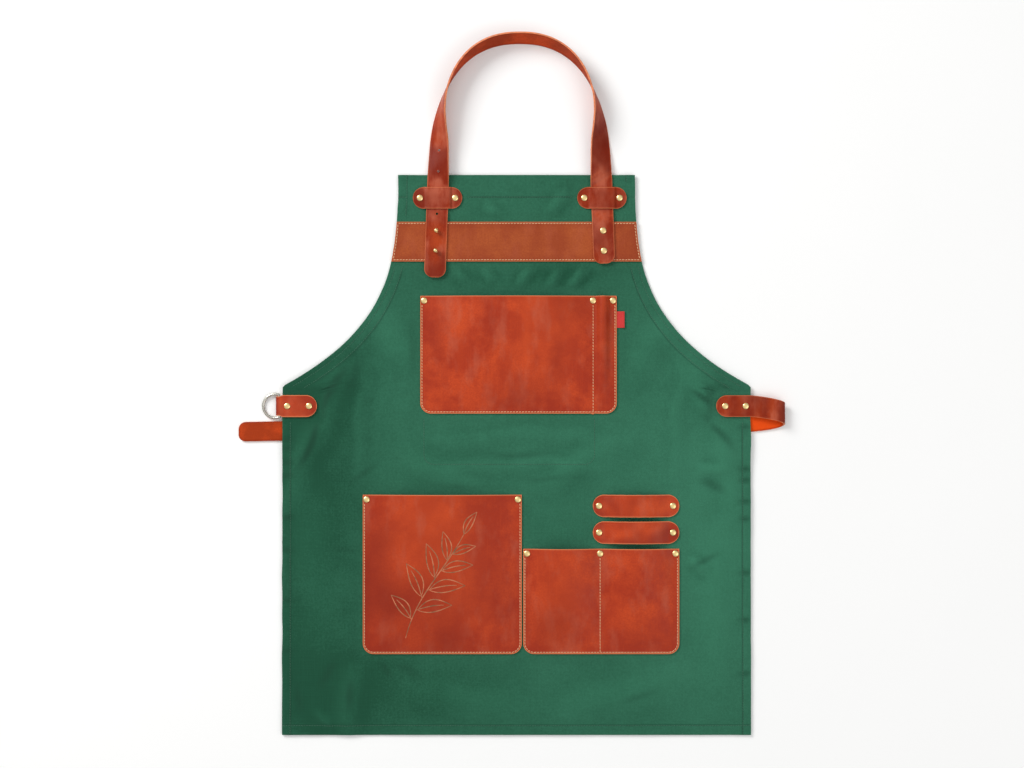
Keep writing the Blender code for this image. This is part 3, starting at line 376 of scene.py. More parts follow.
ARMHOLE = interpolate_bezier(
    Vector((BIB_HALF, ARMHOLE_START)),
    Vector(
        (
            BIB_HALF + ARMHOLE_TOP_HANDLE[0] * (WAIST_HALF - BIB_HALF),
            ARMHOLE_START - ARMHOLE_TOP_HANDLE[1] * (ARMHOLE_START - SIDE_CORNER),
        )
    ),
    Vector(
        (
            WAIST_HALF - ARMHOLE_SIDE_HANDLE[0] * (WAIST_HALF - BIB_HALF),
            SIDE_CORNER + ARMHOLE_SIDE_HANDLE[1] * (ARMHOLE_START - SIDE_CORNER),
        )
    ),
    Vector((WAIST_HALF, SIDE_CORNER)),
    ARMHOLE_POINTS,
)


def colour(red, green, blue):
    """Linear colour of a display colour given in 0 to 255."""
    return tuple((channel / 255) ** 2.2 for channel in (red, green, blue))


def length_property(name, description, default, precision):
    """A length setting in metres."""
    return FloatProperty(
        name=name, description=description, default=default, unit="LENGTH", precision=precision
    )


def colour_property(name, description, red, green, blue):
    """A colour setting, its default given as a display colour in 0 to 255."""
    return FloatVectorProperty(
        name=name, description=description, default=colour(red, green, blue), size=3,
        subtype="COLOR",
    )


class ApronSizes(bpy.types.PropertyGroup):
    """Sizes of the finish that a maker would change."""

    fold_height: FloatProperty(
        name="Fold height", description="Height of the canvas's soft folds, as a share",
        default=1.5,
    )
    weave_pitch: length_property("Weave pitch", "Distance between two yarns", 0.00065, 5)
    leather_stitch: length_property("Leather stitch", "Length of one stitch in leather", 0.0034, 4)
    canvas_stitch: length_property("Canvas stitch", "Length of one stitch in the hems", 0.0029, 4)
    thread: length_property("Thread", "Radius of the sewing thread", 0.00044, 5)
    rivet_sides: IntProperty(
        name="Rivet sides", description="Faces round a rivet's cap", default=28
    )


class ApronColours(bpy.types.PropertyGroup):
    """Colours of the apron's materials."""

    canvas: colour_property("Canvas", "Dyed canvas", 50, 107, 82)
    pocket: colour_property("Pocket leather", "Waxed leather of the pockets and loops", 182, 60, 26)
    band: colour_property("Band leather", "Smoother leather of the chest band", 164, 74, 36)
    strap: colour_property("Strap leather", "Thick leather of the straps and keepers", 158, 54, 24)
    # Wax bloom, which also stands in for painted sheen
    bloom_and_sheen: colour_property("Bloom", "Dull wax bloom on the leather", 186, 98, 74)
    flesh: colour_property("Flesh side", "Back of the leather", 188, 68, 28)
    raw_edge: colour_property("Raw edge", "Cut edges of the leather", 222, 128, 84)
    thread: colour_property("Leather thread", "Thread in the leather", 252, 196, 146)
    label: colour_property("Label", "Woven side label", 206, 44, 40)
    brass: colour_property("Brass", "Rivets and studs", 252, 222, 156)
    nickel: colour_property("Nickel", "Plating of the ring", 206, 203, 192)
    floor: colour_property("Floor", "Floor under the apron", 251, 251, 250)


def sizes():
    """The scene's apron sizes."""
    return bpy.context.scene.apron_sizes


def colours():
    """The scene's apron colours."""
    return bpy.context.scene.apron_colours


def mix(a, b, share):
    """The value a share of the way from a to b."""
    return a + (b - a) * share


def clamp(value):
    """The value kept from 0 to 1."""
    return min(max(value, 0.0), 1.0)


def smooth(value):
    """A soft step from 0 to 1."""
    value = clamp(value)
    return value * value * (3 - 2 * value)


def bell(distance, width):
    """1 at a line, fading to nothing at about the width from it."""
    return math.exp(-((2 * distance / width) ** 2))


def wander(x, y, z):
    """A smooth random value at a place, from about -1 to 1."""
    return noise.noise(Vector((x, y, z)))


def node_centre(node):
    """Middle of a frame node in plan, as (x, y)."""
    low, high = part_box(node)
    return (low.x + high.x) / 2, (low.y + high.y) / 2


def look_up(table, key, column, at):
    """A column's value where the key column is at this value, straight between rows."""
    if at <= table[0][key]:
        return table[0][column]
    for low, high in zip(table, table[1:]):
        if at <= high[key]:
            return mix(low[column], high[column], (at - low[key]) / (high[key] - low[key]))
    return table[-1][column]


def spaced(breaks, pitch):
    """The breaks in order, with even values between them no further apart than pitch."""
    values = [breaks[0]]
    for low, high in zip(breaks, breaks[1:]):
        count = max(1, math.ceil((high - low) / pitch - 0.001))
        values += [mix(low, high, k / count) for k in range(1, count + 1)]
    return values


def edged(length, pitch, steps=(0.0, 0.0005, 0.0012, 0.0018, 0.0024, 0.0030, 0.0038, 0.0055)):
    """Distances across a leather piece, closer together along its two edges."""
    inner = spaced([steps[-1], length - steps[-1]], pitch)
    return list(steps[:-1]) + inner + [length - step for step in reversed(steps[:-1])]


def half_width(y):
    """Half the body's width at this height."""
    if y <= SIDE_CORNER:
        return mix(SKIRT_HALF, WAIST_HALF, (y - HEM_LINE) / (SIDE_CORNER - HEM_LINE))
    if y >= ARMHOLE[0].y:
        return ARMHOLE[0].x
    low, high = 0, len(ARMHOLE) - 1
    while high - low > 1:
        middle = (low + high) // 2
        if ARMHOLE[middle].y >= y:
            low = middle
        else:
            high = middle
    share = (ARMHOLE[low].y - y) / (ARMHOLE[low].y - ARMHOLE[high].y)
    return mix(ARMHOLE[low].x, ARMHOLE[high].x, share)


def edge_slope(y):
    """How far the body's edge runs out for each unit down."""
    reach = 0.004
    if y <= SIDE_CORNER:
        return 0.0
    return abs(half_width(y + reach) - half_width(y - reach)) / (2 * reach)


def hem_width(y):
    """How wide the turned edge is at this height, measured level."""
    if y <= SIDE_CORNER:
        corner = ARMHOLE_FACING * FACING_STRETCH
        return mix(SIDE_HEM, corner, smooth((y - SIDE_CORNER + FACING_END) / FACING_END))
    facing = mix(ARMHOLE_FACING, BIB_HEM, smooth((y - BAND_LOW.y) / (BAND_HIGH.y - BAND_LOW.y)))
    return facing * min(math.hypot(1, edge_slope(y)), FACING_STRETCH)


def back_strand_line(x):
    """Middle of the waist strap where it crosses behind the body."""
    return STRAP_SLOPE * x


def level_top(x, y):
    """Height of the canvas's front face without its folds, as the frame has it."""
    side = LEFT_LIFT if x < 0 else RIGHT_LIFT
    side *= smooth((abs(x) - (WAIST_HALF - SIDE_LIFT_IN - SIDE_LIFT_FADE)) / SIDE_LIFT_FADE)
    side *= 1 - smooth((abs(y - WAIST_TAB_LINE / 2) - SIDE_LIFT_HALF_HEIGHT) / SIDE_LIFT_RAMP)
    away = y - back_strand_line(x)
    if away > 0:
        foot = CHEST_MOUTH - STRAP_WIDTH / 2
        ridge = RIDGE_LIFT * (1 - clamp((away - STRAP_WIDTH / 2) / foot))
    else:
        ridge = RIDGE_LIFT * (1 - smooth((-away - STRAP_WIDTH / 2 - RIDGE_MARGIN) / RIDGE_RAMP))
    bib = BIB_LIFT * clamp((y - BAND_LOW.y) / (BIB_RAMP_END - BAND_LOW.y))
    return CLOTH_TOP + max(side, ridge, bib)


def neck_strap_x(side, y):
    """Middle of the neck strap's leg at this height, side -1 left and 1 right."""
    return ARCH_CENTRE + side * (ARCH_HALF_WIDTH + STRAP_SPLAY * (ARCH_FOOT - y))


def leather_plates():
    """Boxes that leather covers, as (left, right, bottom, top)."""
    plates = []
    for name in (
        "chest_pocket", "tall_pocket", "twin_pocket", "upper_tool_loop", "lower_tool_loop",
        "left_keeper", "right_keeper", "chest_band", "side_label", "ring_tab",
    ):
        low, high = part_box(name)
        plates.append((low.x, high.x, low.y, high.y))
    plates.append(
        (
            WAIST_HALF - WAIST_TAB_LENGTH, WAIST_HALF,
            WAIST_TAB_LINE - STRAP_WIDTH / 2, WAIST_TAB_LINE + STRAP_WIDTH / 2,
        )
    )
    for side, tail in ((-1, LEFT_TAIL), (1, RIGHT_TAIL)):
        middle = neck_strap_x(side, BAND_LOW.y)
        reach = STRAP_WIDTH * 0.6
        plates.append((middle - reach, middle + reach, BAND_LOW.y - tail, BIB_TOP))
    return plates


LEATHER_PLATES = leather_plates()


def leather_cover(x, y):
    """1 where leather holds the canvas flat, and 0 in the free canvas."""
    cover = 0.0
    for left, right, bottom, top in LEATHER_PLATES:
        away = max(left - x, x - right, bottom - y, y - top)
        if away < LEATHER_MARGIN + LEATHER_FADE:
            cover = max(cover, 1 - smooth((away - LEATHER_MARGIN) / LEATHER_FADE))
    return cover


def fold_share(fold, x, y):
    """How much of a fold's height is reached here: 1 on its line, and 0 away from it."""
    dx = x - fold["across"] * SKIRT_HALF
    dy = y - HEM_LINE - fold["up"] * BODY_LENGTH
    if abs(dx) + abs(dy) > fold["length"] + fold["width"]:
        return 0.0
    turn = math.radians(fold["turn"])
    along = -dx * math.sin(turn) + dy * math.cos(turn)
    bend = min(0.12 * fold["length"], 0.014) * wander(along * 14, fold["up"] * 31, 0)
    across = dx * math.cos(turn) + dy * math.sin(turn) + bend
    return smooth(1.15 - abs(2 * along / fold["length"])) * bell(across, fold["width"])


def fold_rise(x, y):
    """Height of the free folds at this place."""
    return sum(fold["height"] * fold_share(fold, x, y) for fold in FOLDS)


def crease_depth(x, y):
    """How deep in a pressed crease or a hem's pucker a place is, from 0 to 1."""
    depth = max(crease["depth"] * fold_share(crease, x, y) for crease in CREASES)
    inward = half_width(y) - abs(x)
    if 0 <= inward < 2 * SIDE_HEM:
        for up in LEFT_PUCKERS if x < 0 else RIGHT_PUCKERS:
            away = y - HEM_LINE - up * BODY_LENGTH
            depth = max(depth, 0.6 * bell(away, 0.0075) * bell(inward - 0.008, 0.016))
    return depth


def hem_share(x, y):
    """How far in from the body's edge a place is, as a share of the hem there."""
    return (half_width(y) - abs(x)) / hem_width(y)


def cloth_detail(x, y):
    """Folds, ripples, puckers and sewn lines of the canvas over its level form."""
    share = hem_share(x, y)
    total = fold_rise(x, y) * sizes().fold_height
    total += 0.0011 * (0.3 + wander(x * 8, y * 8, 3.1))
    total += 0.0005 * (0.3 + wander(x * 24, y * 24, 7.7))
    up, down = BIB_TOP - y, y - HEM_LINE
    on_side = 1 - smooth((share - 1.0) / 0.10)
    on_bottom = 1 - smooth((down - BOTTOM_HEM) / 0.0016)
    on_top = 1 - smooth((up - TOP_HEM) / 0.0016)
    total += 0.00035 * max(on_side, on_bottom, on_top)
    near_side = math.exp(-(((share - 0.8) / 0.8) ** 2))
    near_level = max(bell(down - BOTTOM_HEM, 0.020), bell(up - TOP_HEM, 0.022))
    across_side = 0.5 + wander(share * 0.7, y * 105, x)
    across_level = 0.5 + wander(x * 100, y * 9, 1.3)
    total += 0.0008 * max(near_side * across_side, near_level * across_level)
    groove = bell((share - HEM_STITCH) * hem_width(y), HEM_GROOVE)
    if ARMHOLE_START > y > SIDE_CORNER:
        groove = max(groove, bell((share - FACING_STITCH) * hem_width(y), HEM_GROOVE))
    groove = max(
        groove, bell(down - BOTTOM_HEM * HEM_STITCH, HEM_GROOVE), bell(up - TOP_HEM, HEM_GROOVE)
    )
    total -= 0.0003 * groove
    return total - CREASE_DEPTH * crease_depth(x, y)


def canvas_tone(x, y):
    """How much darker or lighter the canvas is here: broad places from CANVAS_TONES, painted shade
    in the folds' hollows and in the creases, and painted highlight on the folds' crests.
    """
    total = 0.0
    for tone in CANVAS_TONES:
        away_x = (x - tone["across"] * SKIRT_HALF) / tone["wide"]
        away_y = (y - HEM_LINE - tone["up"] * BODY_LENGTH) / tone["high"]
        total += tone["tone"] * bell(math.hypot(away_x, away_y), 1)
    # Painted shade where a place lies below its neighbours in a fold, painted highlight where it
    # stands above them, and painted shade in the creases
    reach = FOLD_TONE_REACH
    level = sum(
        fold_rise(x + dx, y + dy) for dx, dy in ((reach, 0), (-reach, 0), (0, reach), (0, -reach))
    ) / 4
    crest = (fold_rise(x, y) - level) * sizes().fold_height
    change = max(FOLD_VALLEY_SHADE * min(crest, 0.0) + CREST_HIGHLIGHT * max(crest, 0.0), -FOLD_TONE_MOST)
    change -= CREASE_TONE * crease_depth(x, y)
    return total + change * (1 - leather_cover(x, y))


def canvas_top(x, y):
    """Height of the canvas's front face with all its detail."""
    return level_top(x, y) + cloth_detail(x, y) * (1 - leather_cover(x, y))


def over_canvas(x, y):
    """Height that leather lies at over the canvas."""
    return level_top(x, y) + GAP


# Materials


def add_node(tree, kind, inputs=None, **settings):
    """A node with its settings, its input values and the sockets linked to it."""
    made = tree.nodes.new(kind)
    for name, value in settings.items():
        setattr(made, name, value)
    for name, value in (inputs or {}).items():
        if isinstance(value, bpy.types.NodeSocket):
            tree.links.new(value, made.inputs[name])
        else:
            made.inputs[name].default_value = value
    return made


def maths(tree, operation, first, second=0.0, clamped=False):
    """The output of a Math node."""
    return add_node(
        tree, "ShaderNodeMath", {0: first, 1: second}, operation=operation, use_clamp=clamped
    ).outputs[0]


def times(tree, first, second):
    """The product of two values."""
    return maths(tree, "MULTIPLY", first, second)


def plus(tree, first, second):
    """The sum of two values."""
    return maths(tree, "ADD", first, second)


def vector_maths(tree, operation, first, second):
    """The output of a Vector Math node."""
    return add_node(
        tree, "ShaderNodeVectorMath", {0: first, 1: second}, operation=operation
    ).outputs[0]


def clouds(tree, place, scale, **settings):
    """The value of a noise texture."""
    inputs = {name.title(): value for name, value in settings.items()}
    return add_node(
        tree, "ShaderNodeTexNoise", {"Vector": place, "Scale": scale, **inputs}
    ).outputs["Fac"]


def mapped(tree, place, rotation=(0.0, 0.0, 0.0), scale=(1.0, 1.0, 1.0)):
    """A place turned and scaled by a Mapping node."""
    return add_node(
        tree, "ShaderNodeMapping", {"Vector": place, "Rotation": rotation, "Scale": scale}
    ).outputs[0]


def blended(tree, share, first, second):
    """The colour a share of the way from first to second."""
    made = add_node(tree, "ShaderNodeMix", {0: share}, data_type="RGBA")
    for index, value in ((6, first), (7, second)):
        if isinstance(value, bpy.types.NodeSocket):
            tree.links.new(value, made.inputs[index])
        else:
            made.inputs[index].default_value = (*value[:3], 1.0)
    return made.outputs[2]


def ranged(tree, value, low, high, to_low=0.0, to_high=1.0):
    """The value moved from one range to another, kept inside it."""
    return add_node(
        tree, "ShaderNodeMapRange",
        {"Value": value, "From Min": low, "From Max": high, "To Min": to_low, "To Max": to_high},
    ).outputs["Result"]


def new_group(name, inputs, outputs):
    """A shader node group with these sockets, and its input and output nodes."""
    made = bpy.data.node_groups.new(name, "ShaderNodeTree")
    for socket, kind, value in inputs:
        added = made.interface.new_socket(socket, in_out="INPUT", socket_type=kind)
        if value is not None:
            added.default_value = value
    for socket, kind in outputs:
        made.interface.new_socket(socket, in_out="OUTPUT", socket_type=kind)
    return made, made.nodes.new("NodeGroupInput"), made.nodes.new("NodeGroupOutput")


def weave_group():
    """Plain weave: Height of the yarns and Slub, the thick and thin of single yarns."""
    group, given, result = new_group(
        "Plain weave",
        [("Vector", "NodeSocketVector", None), ("Yarns", "NodeSocketFloat", 1500.0)],
        [("Height", "NodeSocketFloat"), ("Slub", "NodeSocketFloat")],
    )
    place = add_node(group, "ShaderNodeSeparateXYZ", {0: given.outputs["Vector"]})
    across = times(group, place.outputs["X"], given.outputs["Yarns"])
    along = times(group, place.outputs["Y"], given.outputs["Yarns"])
    warp = maths(group, "ABSOLUTE", maths(group, "SINE", times(group, across, math.pi)))
    weft = maths(group, "ABSOLUTE", maths(group, "SINE", times(group, along, math.pi)))
    cell = plus(group, maths(group, "FLOOR", across), maths(group, "FLOOR", along))
    over = maths(group, "FLOORED_MODULO", cell, 2.0)
    crossing = add_node(group, "ShaderNodeMix", {0: over, 2: warp, 3: weft}, data_type="FLOAT")
    group.links.new(crossing.outputs[0], result.inputs["Height"])
    slubs = []
    for scale in ((900.0, 22.0, 1.0), (22.0, 900.0, 1.0)):
        stretched = vector_maths(group, "MULTIPLY", given.outputs["Vector"], scale)
        slubs.append(clouds(group, stretched, 1.0, detail=2.0))
    slub = times(group, plus(group, slubs[0], slubs[1]), 0.5)
    group.links.new(slub, result.inputs["Slub"])
    return group


def hide_group():
    """Leather grain: Height of its pores and creases, Patch, and fine Speckle."""
    group, given, result = new_group(
        "Hide grain",
        [("Vector", "NodeSocketVector", None), ("Pores", "NodeSocketFloat", 900.0)],
        [(socket, "NodeSocketFloat") for socket in ("Height", "Patch", "Speckle")],
    )
    place = given.outputs["Vector"]
    warped = add_node(group, "ShaderNodeTexNoise", {"Vector": place, "Scale": 60.0, "Detail": 3.0})
    shifted = vector_maths(group, "MULTIPLY", warped.outputs["Color"], (0.004, 0.004, 0.004))
    moved = vector_maths(group, "ADD", place, shifted)
    cells = add_node(
        group, "ShaderNodeTexVoronoi", {"Vector": moved, "Scale": given.outputs["Pores"]},
        feature="DISTANCE_TO_EDGE",
    ).outputs["Distance"]
    pores = ranged(group, cells, 0.0, 0.22)
    broad = clouds(group, moved, 130.0, detail=4.0)
    height = plus(group, times(group, pores, 0.45), broad)
    group.links.new(height, result.inputs["Height"])
    patch = clouds(group, place, 15.0, detail=4.0, roughness=0.52, distortion=0.1)
    mottle = clouds(group, place, 58.0, detail=4.0, roughness=0.55, distortion=0.2)
    both = plus(group, times(group, mottle, 0.42), times(group, patch, 0.98))
    group.links.new(ranged(group, both, 0.59, 0.81), result.inputs["Patch"])
    speckle = clouds(group, place, 420.0, detail=3.0, roughness=0.7)
    group.links.new(ranged(group, speckle, 0.36, 0.66), result.inputs["Speckle"])
    return group


def scuff_group():
    """Fine scratches: Mask is 1 along them."""
    group, given, result = new_group(
        "Scuffs", [("Vector", "NodeSocketVector", None)], [("Mask", "NodeSocketFloat")]
    )
    masks = []
    for turn, scale in ((0.5, 1.0), (-0.9, 0.7), (1.4, 1.3)):
        turned = mapped(group, given.outputs["Vector"], (0, 0, turn), (900 * scale, 14, 60))
        lines = clouds(group, turned, 1.0, detail=1.0)
        masks.append(ranged(group, lines, 0.68, 0.78))
    both = maths(group, "MAXIMUM", masks[0], masks[1])
    group.links.new(maths(group, "MAXIMUM", both, masks[2]), result.inputs["Mask"])
    return group


def place_group(tree, name, make, inputs):
    """A node group placed in a material, made the first time it is asked for."""
    group = bpy.data.node_groups.get(name) or make()
    return add_node(tree, "ShaderNodeGroup", inputs, node_tree=group)


def new_material(name, **values):
    """A material with its Principled shader's constant values set, and its node tree."""
    made = bpy.data.materials.new(name)
    made.use_nodes = True
    shader = made.node_tree.nodes["Principled BSDF"]
    for socket, value in values.items():
        shader.inputs[socket.replace("_", " ")].default_value = value
    return made, made.node_tree, shader


def bump(tree, shader, height, depth, strength=1.0):
    """Links a height to the shader's normal."""
    made = add_node(
        tree, "ShaderNodeBump", {"Height": height, "Distance": depth, "Strength": strength}
    )
    tree.links.new(made.outputs["Normal"], shader.inputs["Normal"])


def object_place(tree):
    """The object coordinates' socket."""
    return tree.nodes.new("ShaderNodeTexCoord").outputs["Object"]


def attribute(tree, name):
    """A surface attribute's value."""
    return add_node(tree, "ShaderNodeAttribute", attribute_name=name).outputs["Fac"]


def shaded(base, factor):
    """A colour made darker or lighter."""
    return tuple(min(channel * factor, 1.0) for channel in base)


def canvas_material():
    """Dyed canvas: plain weave with painted highlight on its fold crests, lighter along its edges,
    and painted shade round the leather, on its hem lines and in its creases.
    """
    made, tree, shader = new_material(
        "dyed_canvas", Roughness=0.9, Sheen_Weight=0.06, Sheen_Roughness=0.5, Specular_IOR_Level=0.16
    )
    base = colours().canvas
    place = object_place(tree)
    weave = place_group(
        tree, "Plain weave", weave_group, {"Vector": place, "Yarns": 1 / sizes().weave_pitch}
    )
    fading = clouds(tree, place, 11.0, detail=6.0, roughness=0.66)
    cloudy = ranged(tree, fading, 0.3, 0.7, -0.55, 0.55)
    # Random mottling plus the tone attribute, which holds broad darker and lighter places and the
    # painted shade and highlight of the folds and creases
    tone_and_fold_shading = plus(tree, cloudy, attribute(tree, "tone"))
    lint = clouds(tree, place, 330.0, detail=4.0, roughness=0.8)
    tone_and_fold_shading = plus(tree, tone_and_fold_shading, ranged(tree, lint, 0.36, 0.64, -0.55, 0.55))
    dark = (base[0] * 0.10, base[1] * 0.34, base[2] * 0.28)
    light = (base[0] * 1.95, base[1] * 1.62, base[2] * 1.74)
    ground = blended(tree, ranged(tree, tone_and_fold_shading, -2.0, 2.0), dark, light)
    slub = ranged(tree, weave.outputs["Slub"], 0.35, 0.65)
    slubbed = blended(tree, slub, shaded(base, 0.80), shaded(base, 1.18))
    ground = blended(tree, 0.3, ground, slubbed)
    # Painted shade between the yarns
    between = maths(tree, "SUBTRACT", 1.0, weave.outputs["Height"], clamped=True)
    ground = blended(tree, times(tree, between, 0.55), ground, shaded(base, 0.40))
    # Painted highlight on the folds' crests, and lighter along the body's edges
    rise = attribute(tree, "rise")
    ground = blended(tree, ranged(tree, rise, 0.0, 1.0, 0.0, 0.16), ground, shaded(base, 1.42))
    # Painted shade round the leather, along the hems' lines and in the creases and puckers
    ground = blended(tree, attribute(tree, "painted_shade"), ground, shaded(base, 0.38))
    tree.links.new(ground, shader.inputs["Base Color"])
    bump(tree, shader, weave.outputs["Height"], 0.00012, 0.75)
    return made


def leather_material(
    name, base, roughness, patch=0.72, grain=0.00012, rim=0.85, gloss=0.22, bloom_and_sheen=0.34,
    bloom_and_sheen_from=0.50,
):
    """Waxed leather: mottled, with pores, scuffs, darker borders and lighter edges, paler where
    stretched and where a highlight is painted, darker where marked, in part painted shade, and wax
    bloom with painted sheen.
    """
    made, tree, shader = new_material(name, Specular_IOR_Level=gloss)
    place = object_place(tree)
    hide = place_group(tree, "Hide grain", hide_group, {"Vector": place, "Pores": 900.0})
    scuffs = place_group(tree, "Scuffs", scuff_group, {"Vector": place})
    dark = (base[0] * 0.62, base[1] * 0.42, base[2] * 0.40)
    light = (min(base[0] * 1.28, 1), min(base[1] * 1.75, 1), min(base[2] * 1.75, 1))
    ground = blended(tree, hide.outputs["Patch"], dark, light)
    ground = blended(tree, 1 - 0.72 * patch, ground, base)
    speckle = times(tree, hide.outputs["Speckle"], 0.42)
    ground = blended(tree, speckle, ground, dark)
    ground = blended(tree, times(tree, scuffs.outputs["Mask"], 0.22), ground, light)
    margin = attribute(tree, "margin")
    border = ranged(tree, margin, 0.0035, 0.012, 0.34, 0.0)
    ground = blended(tree, border, ground, dark)
    # Paler where stretched, and where a highlight is painted on the straps, loops and pocket bulges
    stretch_and_highlight = attribute(tree, "stretch_and_highlight")
    ground = blended(tree, times(tree, stretch_and_highlight, 0.75), ground, light)
    # Wax bloom mixed with painted sheen, in pale clouds
    drawn = mapped(tree, place, scale=(46.0, 20.0, 36.0))
    cloud = clouds(tree, drawn, 1.0, detail=4.0, roughness=0.6)
    bloom_and_sheen_share = ranged(tree, cloud, bloom_and_sheen_from, bloom_and_sheen_from + 0.2, 0.0, bloom_and_sheen)
    ground = blended(tree, bloom_and_sheen_share, ground, colours().bloom_and_sheen)
    # Darker where marked: age, and painted shade on the straps
    darkening = attribute(tree, "darkening")
    ground = blended(tree, times(tree, darkening, 0.8), ground, shaded(dark, 0.8))
    worn = ranged(tree, margin, 0.0004, 0.0014, rim, 0.0)
    ground = blended(tree, worn, ground, colours().raw_edge)
    tree.links.new(ground, shader.inputs["Base Color"])
    rough = plus(tree, times(tree, hide.outputs["Patch"], 0.14), roughness - 0.07)
    rough = plus(tree, rough, times(tree, scuffs.outputs["Mask"], 0.12))
    tree.links.new(rough, shader.inputs["Roughness"])
    bump(tree, shader, hide.outputs["Height"], grain, 0.6)
    return made


LOOP_FLESH = colour(238, 80, 17)


def flesh_material(name, base):
    """The napped or waxed back of the leather, lighter and more orange inside the waist strap's
    loop.
    """
    made, tree, shader = new_material(name, Specular_IOR_Level=0.12)
    place = object_place(tree)
    hide = place_group(tree, "Hide grain", hide_group, {"Vector": place, "Pores": 1600.0})
    ground = blended(tree, hide.outputs["Patch"], shaded(base, 0.72), shaded(base, 1.22))
    ground = blended(
        tree, times(tree, hide.outputs["Speckle"], 0.35), ground, shaded(base, 0.55)
    )
    # Lighter and more orange inside the waist strap's loop
    side = add_node(tree, "ShaderNodeSeparateXYZ", {0: place}).outputs["X"]
    in_loop = ranged(tree, side, WAIST_HALF - 0.02, WAIST_HALF, 0.0, 0.8)
    ground = blended(tree, in_loop, ground, LOOP_FLESH)
    border = ranged(tree, attribute(tree, "margin"), 0.0008, 0.0035, 0.5, 0.0)
    ground = blended(tree, border, ground, shaded(base, 0.45))
    tree.links.new(ground, shader.inputs["Base Color"])
    rough = plus(tree, times(tree, hide.outputs["Speckle"], 0.15), 0.64)
    tree.links.new(rough, shader.inputs["Roughness"])
    bump(tree, shader, hide.outputs["Speckle"], 0.00018, 0.7)
    return made


def raw_edge_material():
    """The cut edge of the leather: pale layered fibres."""
    made, tree, shader = new_material("raw_edge", Roughness=0.62)
    base = colours().raw_edge
    place = object_place(tree)
    layered = mapped(tree, place, scale=(260.0, 260.0, 2600.0))
    fibres = clouds(tree, layered, 1.0, detail=3.0)
    ground = blended(tree, ranged(tree, fibres, 0.35, 0.65), shaded(base, 0.68), shaded(base, 1.15))
    tree.links.new(ground, shader.inputs["Base Color"])
    bump(tree, shader, fibres, 0.0001, 0.6)
    return made


def thread_material(name, base):
    """Twisted sewing thread."""
    made, tree, shader = new_material(name, Roughness=0.58, Sheen_Weight=0.25)
    place = object_place(tree)
    turned = mapped(tree, place, (0, 0, 0.8))
    twist = add_node(
        tree, "ShaderNodeTexWave",
        {"Vector": turned, "Scale": 520.0, "Distortion": 1.2, "Detail": 1.0},
    ).outputs["Fac"]
    tint = clouds(tree, place, 70.0)
    ground = blended(tree, ranged(tree, tint, 0.35, 0.65), shaded(base, 0.84), shaded(base, 1.08))
    # Painted shade in the thread's twist
    ground = blended(tree, times(tree, twist, 0.35), ground, shaded(base, 0.66))
    tree.links.new(ground, shader.inputs["Base Color"])
    bump(tree, shader, twist, 0.00008, 0.7)
    return made


def metal_material(name, base, roughness, dull):
    """Plated or polished metal with a little tarnish and fine scratches."""
    made, tree, shader = new_material(name, Metallic=1.0)
    place = object_place(tree)
    scuffs = place_group(tree, "Scuffs", scuff_group, {"Vector": place})
    cloud = clouds(tree, place, 260.0, detail=4.0)
    stain = ranged(tree, cloud, 0.42, 0.72)
    ground = blended(tree, times(tree, stain, dull), base, shaded(base, 0.55))
    tree.links.new(ground, shader.inputs["Base Color"])
    rough = plus(tree, times(tree, stain, 0.16), roughness)
    rough = plus(tree, rough, times(tree, scuffs.outputs["Mask"], 0.2))
    tree.links.new(rough, shader.inputs["Roughness"])
    bump(tree, shader, cloud, 0.00004, 0.35)
    return made


def label_material():
    """Fine woven label cloth."""
    made, tree, shader = new_material("label_cloth", Roughness=0.7, Sheen_Weight=0.2)
    base = colours().label
    weave = place_group(
        tree, "Plain weave", weave_group, {"Vector": object_place(tree), "Yarns": 3400.0}
    )
    # Painted shade between the yarns and painted highlight on their tops
    ground = blended(tree, weave.outputs["Height"], shaded(base, 0.66), shaded(base, 1.08))
    tree.links.new(ground, shader.inputs["Base Color"])
    bump(tree, shader, weave.outputs["Height"], 0.00008, 0.7)
    return made


def burnt_material():
    """The burnt, matt line of the sprig."""
    made, tree, shader = new_material("burnt_line", Roughness=0.8)
    place = object_place(tree)
    tint = clouds(tree, place, 90.0, detail=4.0)
    share = ranged(tree, tint, 0.35, 0.65)
    ground = blended(tree, share, colour(122, 84, 56), colour(196, 118, 82))
    tree.links.new(ground, shader.inputs["Base Color"])
    bump(tree, shader, tint, 0.0001, 0.5)
    return made


def floor_material():
    """Plain pale floor."""
    made, tree, shader = new_material("pale_floor", Roughness=0.9)
    place = object_place(tree)
    tint = clouds(tree, place, 5.0)
    base = colours().floor
    ground = blended(tree, tint, shaded(base, 0.985), base)
    tree.links.new(ground, shader.inputs["Base Color"])
    return made


